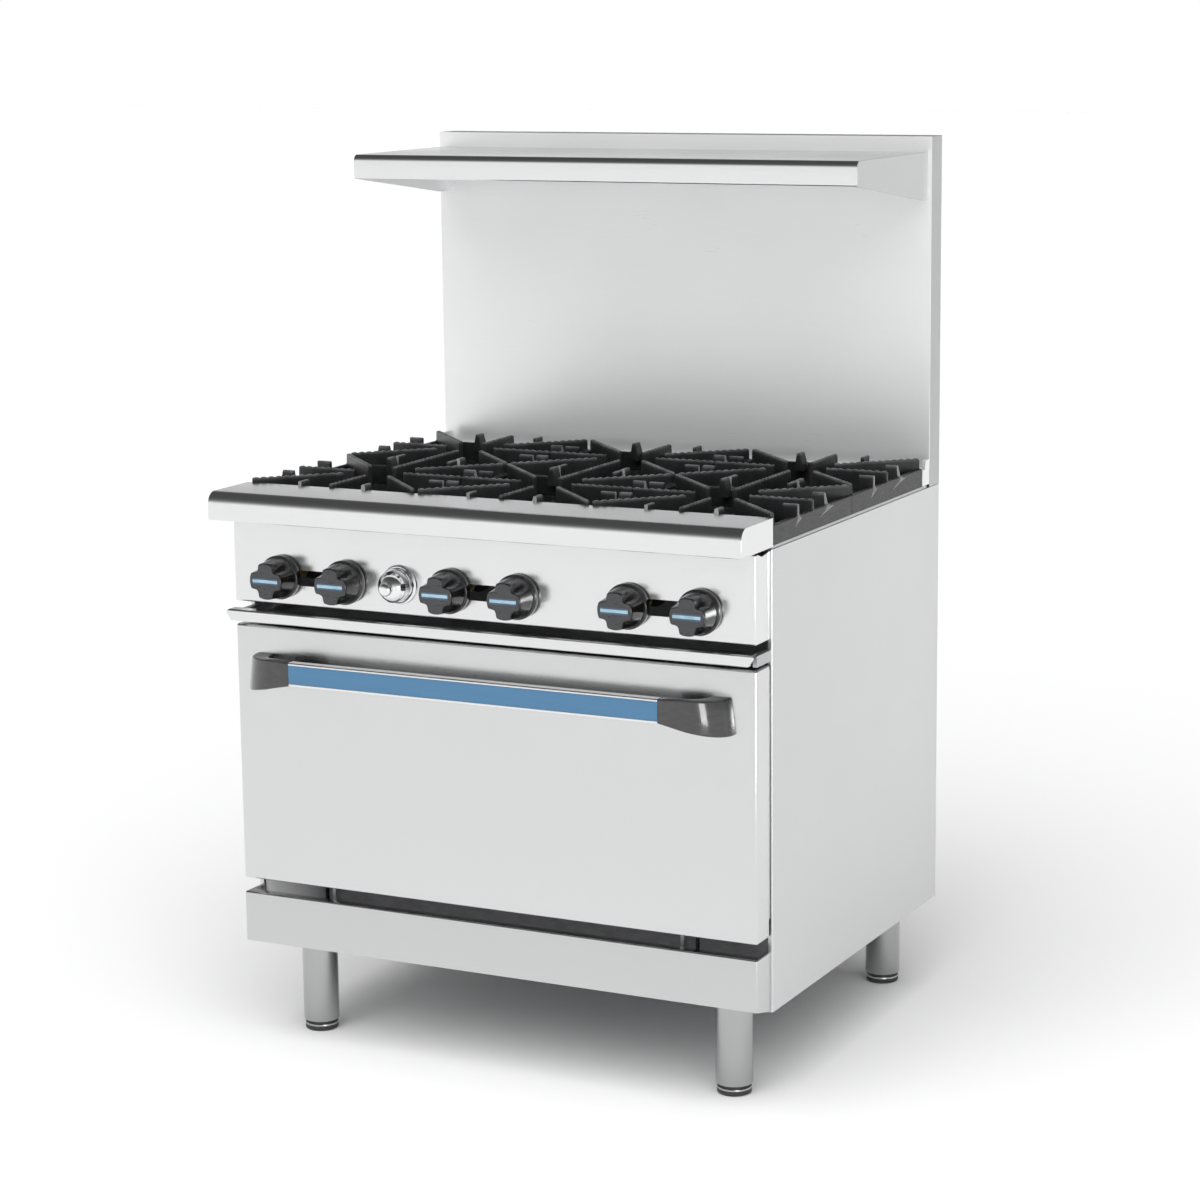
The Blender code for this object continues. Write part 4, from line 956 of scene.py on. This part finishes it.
def knob_grip(center):
    """The grip round its center on the panel's face, with a rim and a face of the second material."""
    segments, groove_depth = 160, 0.0070
    smooth = []
    for i in range(segments):
        turns = [2 * pi * (i + (k - 3) / 4.0) / segments for k in range(7)]
        smooth.append(sum(groove(t) for t in turns) / len(turns))
    levels = mm((12.5, 32.2), (15, 31.9))
    levels += [(h, 0.0319 - 0.0028 * (h - 0.015) / 0.032) for h in evenly(0.018, 0.0470, 9)]
    levels += mm((48.4, 28.8), (49.4, 28.3), (49.9, 27.6), (50, 26.8))
    bm = bmesh.new()
    rings = []
    for height, radius in levels:
        fade = min(max((height - 0.0145) / 0.0315, 0.0), 1.0) ** 1.15
        ring = []
        for i in range(segments):
            turn = 2 * pi * i / segments
            r = radius - groove_depth * fade * smooth[i]
            ring.append(bm.verts.new(center + Vector((r * cos(turn), -height, r * sin(turn)))))
        rings.append(ring)
    bridge(bm, rings)
    bm.faces.new(rings[0])
    sides = len(bm.faces)
    middle = center + Vector((0, -levels[-1][0], 0))
    inner = [bm.verts.new(middle.lerp(vert.co, 0.93)) for vert in rings[-1]]
    bridge(bm, [rings[-1], inner])
    bm.faces.new(inner)
    for face in list(bm.faces)[sides:]:
        face.material_index = 1
    return mesh_object(bm)


def shaft(center, front):
    return rod((center.x, front, center.z), (center.x, FACE + 0.024, center.z), 0.004, 20)


def knobs():
    """Each burner's knob, with a plain band and stripe on its face."""
    skirt_profile = mm(
        (33.5, 0.5), (34.6, 0.7), (35, 1.3), (35, 10.2), (34.7, 11.2), (34, 11.8), (32.8, 12.1), (32.4, 13.5),
    )
    y = FACE - 0.0500
    for index, center in enumerate(KNOBS, 1):
        body, x, z = "knob_%d" % index, center.x, center.z
        skirt = lathe(skirt_profile, (x, FACE, z), TO_FRONT, 96)
        knob = joined([skirt, knob_grip(Vector((x, FACE, z))), shaft(center, FACE + 0.0005)])
        paints = [KNOB_BLACK, KNOB_FACE]
        piece(knob, "knob_%d_grip" % index, paints, body, ["burner_knob_%d" % index], sharp=40)
        band = slotted(x - 0.0232, x + 0.0232, z - 0.0050, z + 0.0050, y - 0.0004, y + 0.001, 0.0010)
        piece(band, "knob_%d_band" % index, LABEL_SLATE, body, bevel=0.00012)
        stripe = slotted(x - 0.0226, x + 0.0226, z - 0.0022, z + 0.0026, y - 0.0006, y - 0.0002, 0.0006)
        piece(stripe, "knob_%d_stripe" % index, LABEL_PALE, body, bevel=0.0001)


def oven_control():
    center = AXES["thermostat_knob"]
    origin = (center.x, FACE, center.z)
    bezel_profile = mm(
        (5, 0.3), (30.2, 0.3), (31, 0.9), (31, 2), (30.4, 2.9), (28.5, 3.6), (27, 4.8), (26.6, 6.2),
        (26.6, 11.2), (26, 12), (5, 12),
    )
    bezel = lathe(bezel_profile, origin, TO_FRONT, 96)
    piece(bezel, "control_bezel", CHROME, "range_body", ["oven_control_bezel"])

    def ribs(turn, height):
        return 1 - (0.022 * abs(sin(24 * turn)) if 0.0135 < height < 0.0245 else 0)

    dome_profile = mm(
        (24, 12.4), (25, 13), (25, 13.7), (25, 24), (24.6, 25), (23.6, 26.2), (22.2, 29), (20, 32.2),
        (17, 35), (13.6, 37.2), (11.2, 38.4), (9.6, 39.2), (9.2, 40.2), (10.4, 42), (11.2, 44.2), (11, 46.6),
        (9.8, 49), (7.6, 51), (4.5, 52.2), (0, 52.5),
    )
    dome = joined([lathe(dome_profile, origin, TO_FRONT, 192, ribs), shaft(center, FACE - 0.013)])
    piece(dome, "control_dome", CHROME, "thermostat_knob", ["oven_control_knob"])


# Cooking top --------------------------------------------------------------------------------------


def serrated(start, end, low, top, width, draft, tooth=0.0125, depth=0.0025, notched=True):
    """An upright cast bar along +X with a notched top and sides that lean in by the draft."""
    steps = max(2, int(round((end - start) / 0.00125)))
    half = width / 2
    bm = bmesh.new()
    rings = []
    for i in range(steps + 1):
        x = start + (end - start) * i / steps
        wave = abs(sin(pi * (end - x) / tooth)) ** 0.55 if notched else 1.0
        z = top - depth * (1 - wave)
        ring = [(x, -half, low), (x, half, low), (x, half - draft, z), (x, draft - half, z)]
        rings.append([bm.verts.new(co) for co in ring])
    return bridged(bm, rings)


def grate_casting():
    """One grate at the origin: solids fused and smoothed into a single casting."""
    node_low, node_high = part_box("grate_1")
    half = (node_high.x - node_low.x) / 2
    bottom, top = node_low.z, node_high.z
    rim_top = bottom + 0.0305
    low = bottom + 0.014  # underside of the bars
    bar, draft, lip = 0.008, 0.0009, 0.026  # a bar's width and lean, and how far its outer stubs reach in
    diagonal_end = (half - bar / 2) * sqrt(2)
    solids = []
    for quarter in range(4):
        turn = Matrix.Rotation(pi / 2 * quarter, 4, "Z")
        rim = prism(
            [(-half, bottom), (-half, rim_top), (-half + bar - 0.0010, rim_top), (-half + bar, bottom)],
            "X", -half, half,
        )
        solids.append(placed(rim, turn))
        straight = serrated(0.046, half - 0.0004, low, top - 0.001, bar, draft)
        solids.append(placed(straight, turn))
        diagonal = serrated(0.060, diagonal_end, low, top, bar, draft)
        solids.append(placed(diagonal, turn @ Matrix.Rotation(pi / 4, 4, "Z")))
        stub = serrated(half - lip, half - 0.0006, low, top - 0.0005, bar, draft, notched=False)
        solids.append(placed(stub, turn @ Matrix.Translation((0, -0.057, 0))))
        outline = [(0.048, low + 0.004), (0.066, low + 0.004), (0.0600, top), (0.0540, top)]
        lug = prism(outline, "X", half - lip, half - 0.0012)
        for vert in lug.data.vertices:
            if vert.co.x > half - 0.01 and vert.co.z > low + 0.02:
                vert.co.x -= 0.0045
        solids.append(placed(lug, turn))
    casting = joined(solids)
    fuse = casting.modifiers.new("fuse", "REMESH")
    fuse.mode = "VOXEL"
    fuse.voxel_size = 0.0011
    fuse.use_smooth_shade = True
    smooth = casting.modifiers.new("smooth", "SMOOTH")
    smooth.factor = 0.5
    smooth.iterations = 2
    casting.modifiers.new("reduce", "DECIMATE").ratio = 0.30
    apply_modifiers(casting)
    reach = max(abs(v.co.x) for v in casting.data.vertices)
    lift = min(v.co.z for v in casting.data.vertices) - bottom
    for vert in casting.data.vertices:
        vert.co.x *= half / reach
        vert.co.y *= half / reach
        vert.co.z -= lift
    # The outward faces of the lugs take the second, paler iron.
    for face in casting.data.polygons:
        (across, _), (out, outward) = sorted((abs(face.center[i]), abs(face.normal[i])) for i in (0, 1))
        on_lug = 0.049 < across < 0.065 and out > half - 0.014 and face.center.z > low + 0.008
        face.material_index = int(on_lug and outward > 0.6)
    return casting


def grates():
    casting = grate_casting()
    for index in range(1, 7):
        low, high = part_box("grate_%d" % index)
        copy = copied(casting, ((low.x + high.x) / 2, (low.y + high.y) / 2, 0))
        name, body, paints = "grate_casting_%d" % index, "loose_grate_%d" % index, [GRATE_IRON, PALE_LUG_IRON]
        piece(copy, name, paints, body, ["grate_%d" % index], sharp=60)
    discard(casting)


def burner_head():
    """An open burner's head at the origin, with a ring of ports under its rim."""
    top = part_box("burner_1")[1].z

    def ports(turn, height):
        return 0.93 if 0.8395 < height < 0.8475 and sin(30 * turn) > 0.1 else 1.0

    profile = mm(
        (29, 748.5), (30, 749.5), (30, 804), (31.8, 809), (47, 833), (49, 836), (49, 838.8), (49.6, 840),
        (49.6, 843.5), (49.6, 847), (50, 848.2), (50, 854.5), (49.4, 856.5), (47.8, 859), (47, 862.5),
        (46.2, 865.5), (44, 866.8), (30, 869), (25.5, 871.2), (23, 871.8),
    )
    return lathe([*profile, (0.0130, top), (0.0, top)], ORIGIN, UP, 240, ports)


def burners():
    """The open burners, each with its venturi and the collar that faces its valve."""
    head = burner_head()
    mouth = FRONT + 0.036
    z = KNOBS[0].z
    collar_profile = mm((13, -0.5), (17, 0), (17.5, 0.8), (17.5, 9.2), (16.5, 10.2), (13, 11))
    for index in range(1, 7):
        grate_low, grate_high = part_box("grate_%d" % index)
        x, y = (grate_low.x + grate_high.x) / 2, (grate_low.y + grate_high.y) / 2
        rear_row = index > 3
        knob = KNOBS[2 * ((index - 1) % 3) + (0 if rear_row else 1)]
        start, end = (knob.x, mouth, z), (x, y - 0.012, z)
        route = [start, end]
        if rear_row:
            front_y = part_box("grate_1")[0].y + 0.1524
            route = smooth_route([start, (start[0], front_y + 0.130, z), end], 0.040, 10)
        else:
            route = [Vector(start).lerp(Vector(end), share) for share in (0, 0.33, 0.67, 1)]
        burner = joined([
            copied(head, (x, y, 0)), tube(route, 0.013, 24), lathe(collar_profile, start, TO_BACK, 32),
        ])
        name = "burner_casting_%d" % index
        piece(burner, name, BURNER_IRON, "range_body", ["burner_%d" % index])
    discard(head)


def valves():
    for index, knob in enumerate(KNOBS, 1):
        low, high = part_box("burner_valve_%d" % index)
        x, z = knob.x, knob.z
        rear, length = FRONT + 0.008, FRONT + 0.008 - low.y
        turned = (
            (mm((5, 0), (8.6, 0), (9, 0.5), (9, 12)), 32),  # boss
            (mm((11, 10.8), (12.4, 11.8), (12.5, 12.5), (12.5, 19.5), (11, 20.5)), 6),  # nut
            ([(0.0105, 0.0200), (0.0115, 0.0205), (0.0115, length - 0.001), (0.0105, length)], 32),  # barrel
        )
        parts = [lathe(profile, (x, low.y, z), TO_BACK, segments) for profile, segments in turned]
        orifice = rod((x, rear - 0.002, z), (x, high.y, z), 0.006, 6)
        neck = rod((x, PIPE_Y, z), (x, PIPE_Y, high.z), 0.008, 24)
        valve = joined([*parts, orifice, neck])
        nodes = ["burner_valve_%d" % index]
        piece(valve, "valve_%d_brass" % index, BRASS, "range_body", nodes, 0.0002)


def manifold():
    """The gas pipe along the front and back to the inlet, whose end is threaded and open."""
    low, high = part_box("gas_manifold")
    side_x = high.x - PIPE_RADIUS
    inlet_length, elbow, pitch, segments = 0.030, 0.045, 0.0026, 40
    corners = [(low.x, PIPE_Y, PIPE_Z), (side_x, PIPE_Y, PIPE_Z), (side_x, BACK - inlet_length, PIPE_Z)]
    pipe = tube(smooth_route(corners, elbow, 12), PIPE_RADIUS, 32)
    thread = mm((12.5, -30), (16, -29.8))
    for turn in range(10):
        y = -0.0285 + turn * pitch
        thread += [(0.0156, y), (0.0165, y + pitch / 2)]
    thread += mm((15.8, -1.2), (15.2, 0), (12.5, 0))
    bm = bmesh.new()
    place = aim((side_x, BACK, PIPE_Z), TO_BACK)
    rings = []
    for radius, height in thread:
        rings.append([
            bm.verts.new(place @ Vector((radius * cos(a), radius * sin(a), height)))
            for a in (2 * pi * k / segments for k in range(segments))
        ])
    bridge(bm, [*rings, rings[0]])
    inlet = mesh_object(bm)
    cap = lathe(((PIPE_RADIUS, 0), (PIPE_RADIUS, 0.010), (PIPE_RADIUS - 0.001, 0.0115)),
                (low.x + 0.0115, PIPE_Y, PIPE_Z), (-1, 0, 0), 8)
    parts = joined([pipe, inlet, cap])
    piece(parts, "manifold_pipe", PIPE_BLACK, "range_body", ["gas_manifold"])


def oven_burner():
    """The tube under the oven's bottom plate, with a row of ports on each side and two feet."""
    low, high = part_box("oven_burner")
    z, radius, bore = high.z - 0.034, 0.024, 0.018
    profile = mm(
        (18, 0), (33.5, 0), (34, 0.6), (34, 5.5), (32.5, 7.5), (25.5, 19), (24, 23), (24, 440), (22, 443.5),
        (0, 444),
    )
    pipe = lathe(profile, (0, low.y, z), TO_BACK, 48)
    ports = [
        box((x - 0.004, x + 0.004), (y, y + 0.0025), (z + 0.004, z + 0.012))
        for x in (-radius, radius) for y in evenly(low.y + 0.060, low.y + 0.410, 24)
    ]
    cut(pipe, [rod((0, low.y - PAST, z), (0, low.y + 0.414, z), bore, 32), joined(ports)])
    feet = [box((-0.012, 0.012), (FRONT + y, FRONT + y + 0.004), (low.z, z - 0.020)) for y in (0.110, 0.400)]
    burner = joined([pipe, *feet])
    piece(burner, "oven_burner_tube", BURNER_IRON, "range_body", ["oven_burner"], 0.0003)


# Riser and shelf ----------------------------------------------------------------------------------


def riser():
    """The splash with the strip behind the grates, and the housing behind it with its lid and flue slot."""
    low, high = SPLASH_LOW, SPLASH_HIGH
    face_y = SHELF_HIGH.y + 0.0003
    strip_top = 0.8955
    sheet = box((low.x, high.x), (face_y, face_y + SHEET), (strip_top - SHEET, high.z))
    parts = [sheet]
    parts += end_boxes(HALF - 0.0035, HALF - 0.002, (face_y + SHEET / 2, high.y), (strip_top, high.z - 0.004))
    path = [(face_y + SHEET, strip_top), (low.y, strip_top), (low.y, low.z), (low.y + 0.006, low.z)]
    parts.append(bent_sheet(path, "X", -HALF + 0.0002, HALF - 0.0002, 0.002))
    inside, middle = 0.0002, face_y + SHEET / 2
    front, bottom, top = low.y + inside, low.z + inside, strip_top - inside
    end = [
        (front, bottom), (middle, bottom), (middle, LEDGE_HIGH.z), (low.y + 0.014, LEDGE_HIGH.z),
        (low.y + 0.010, top), (front, top),
    ]
    parts += end_plates(end, HALF - 0.006, HALF - 0.0001)
    piece(joined(parts), "splash_sheet", SPLASH_STEEL, "range_body", ["riser_splash"], 0.0003)

    low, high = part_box("riser_housing")
    path = [(high.x, low.y), (high.x, high.y), (low.x, high.y), (low.x, low.y)]
    wrap = bent_sheet(path, "Z", low.z, high.z - inside, 0.003)
    cut(wrap, [slotted(-0.300, 0.300, high.z - 0.075, high.z - 0.035, high.y - PAST, high.y + PAST, 0.006)])
    gap, lip = SHEET + inside, high.z - 0.012
    outline = [(low.y, lip), (low.y, high.z), (high.y - gap, high.z), (high.y - gap, lip)]
    lid = shell(outline, (low.x + gap, high.x - gap), [TO_FRONT, (0, 0, -1)], 0.002)
    housing = joined([wrap, lid])
    piece(housing, "riser_sheet", RISER_STEEL, "range_body", ["riser_housing"], 0.0003)


def high_shelf():
    """The folded shelf, with a bracket of the second material and a tab on the splash at each end."""
    low, high = SHELF_LOW, SHELF_HIGH
    rear, front, top = high.y, low.y, high.z
    edge_bottom = top - 0.039
    radius = 0.010
    corner = arc((front + radius, top - radius), radius, 90, 180, 12)
    path = [(rear - 0.0012, top), *corner, (front, edge_bottom), (front + 0.018, edge_bottom)]
    parts = [bent_sheet(path, "X", low.x + 0.0003, high.x - 0.0003)]
    bracket = [(rear, top - 0.0003)]
    bracket += [(u + 0.0003, v - 0.0003) for u, v in corner]
    tab = [(front + 0.0003, edge_bottom - 0.0005), (rear - 0.020, low.z), (rear, low.z)]
    bracket += rounded([bracket[-1], *tab], 0.006)[1:]
    for cheek in end_plates(bracket, high.x - 0.002, high.x):
        for face in cheek.data.polygons:
            face.material_index = 1
        parts.append(cheek)
    parts += end_boxes(high.x - 0.020, high.x - 0.001, (rear - SHEET, rear), (low.z + 0.0005, top - 0.0005))
    paints = [SHELF_STEEL, BRACKET_STEEL]
    piece(joined(parts), "shelf_sheet", paints, "range_body", ["high_shelf"], 0.0003)


def finishes():
    keep(ENAMEL, 0.0005, "oven_liner", "oven_deck", "door_inner_panel")
    keep(ZINC, 0.0004, "base_frame", "burner_box", "oven_thermostat", "door_hinge_left", "door_hinge_right")


for build in (
    side_panels, back_sheet, legs, kick_plate, air_baffle, oven_rack, door, handle, handle_caps,
    control_panel, front_ledge, crumb_tray, knobs, oven_control, grates, burners, valves, manifold,
    oven_burner, riser, high_shelf, finishes,
):
    build()


# Studio -------------------------------------------------------------------------------------------


def studio():
    """A world that is pale at the horizon and dark overhead, and a plain floor."""
    world = bpy.data.worlds.new("studio_world")
    bpy.context.scene.world = world
    world.use_nodes = True
    nodes, links = world.node_tree.nodes, world.node_tree.links
    background = nodes["Background"]
    place = nodes.new("ShaderNodeTexCoord")
    split = nodes.new("ShaderNodeSeparateXYZ")
    links.new(place.outputs["Generated"], split.inputs["Vector"])
    ramp = nodes.new("ShaderNodeValToRGB")
    links.new(split.outputs["Z"], ramp.inputs["Fac"])
    levels = ((0, 1.0), (3, 0.95), (10, 0.60), (18, 0.32), (28, 0.14), (45, 0.08), (90, 0.07))
    stops = [(sin(radians(elevation)), level) for elevation, level in levels]
    ramp.color_ramp.elements[0].position = 0.0
    ramp.color_ramp.elements[1].position = 1.0
    for position, level in stops[1:-1]:
        ramp.color_ramp.elements.new(position).color = (level, level, level, 1)
    for element, (position, level) in zip(ramp.color_ramp.elements, stops):
        element.position = position
        element.color = (level, level, level, 1)
    links.new(ramp.outputs["Color"], background.inputs["Color"])
    background.inputs["Strength"].default_value = 1.0

    bm = bmesh.new()
    bmesh.ops.create_grid(bm, x_segments=4, y_segments=4, size=40.0)
    floor = mesh_object(bm, "floor")
    floor.location.z = -0.0002
    floor.data.materials.append(pale_floor())


def light(name, kind, energy, direction):
    obj = linked(name, bpy.data.lights.new(name, kind))
    obj.data.energy = energy
    obj.rotation_mode = "QUATERNION"
    obj.rotation_quaternion = Vector(direction).to_track_quat("-Z", "Y")
    return obj


def lights():
    """A wide soft key from above the front, and a box beside the camera that only reflections show."""
    key = light("key", "SUN", 3.6, (-0.15, 0.65, -1.0))
    key.data.angle = radians(80)
    key.visible_glossy = False

    place, target = Vector((2.55, -2.65, 0.52)), Vector((0.0, -0.3, 0.5))
    side_box = light("side_box", "AREA", 24, target - place)
    side_box.data.shape = "RECTANGLE"
    side_box.data.size, side_box.data.size_y = 0.9, 0.85
    side_box.location = place
    side_box.visible_diffuse = False
    side_box.visible_camera = False


def camera():
    yaw, pitch, roll = -0.467453, 0.189267, -0.0116877
    forward = Vector((sin(yaw) * cos(pitch), cos(yaw) * cos(pitch), -sin(pitch)))
    level = Vector((cos(yaw), -sin(yaw), 0))
    above = level.cross(forward)
    right = level * cos(roll) + above * sin(roll)
    up = -level * sin(roll) + above * cos(roll)
    obj = linked("camera", bpy.data.cameras.new("camera"))
    obj.data.sensor_width = 36.0
    obj.data.lens = 93.503
    obj.data.clip_end = 200.0
    turned = Matrix((right, up, -forward)).transposed().to_4x4()
    obj.matrix_world = Matrix.Translation((2.26356, -4.43463, 1.65503)) @ turned
    bpy.context.scene.camera = obj


studio()
lights()
camera()
bpy.context.scene.view_settings.view_transform = "Standard"
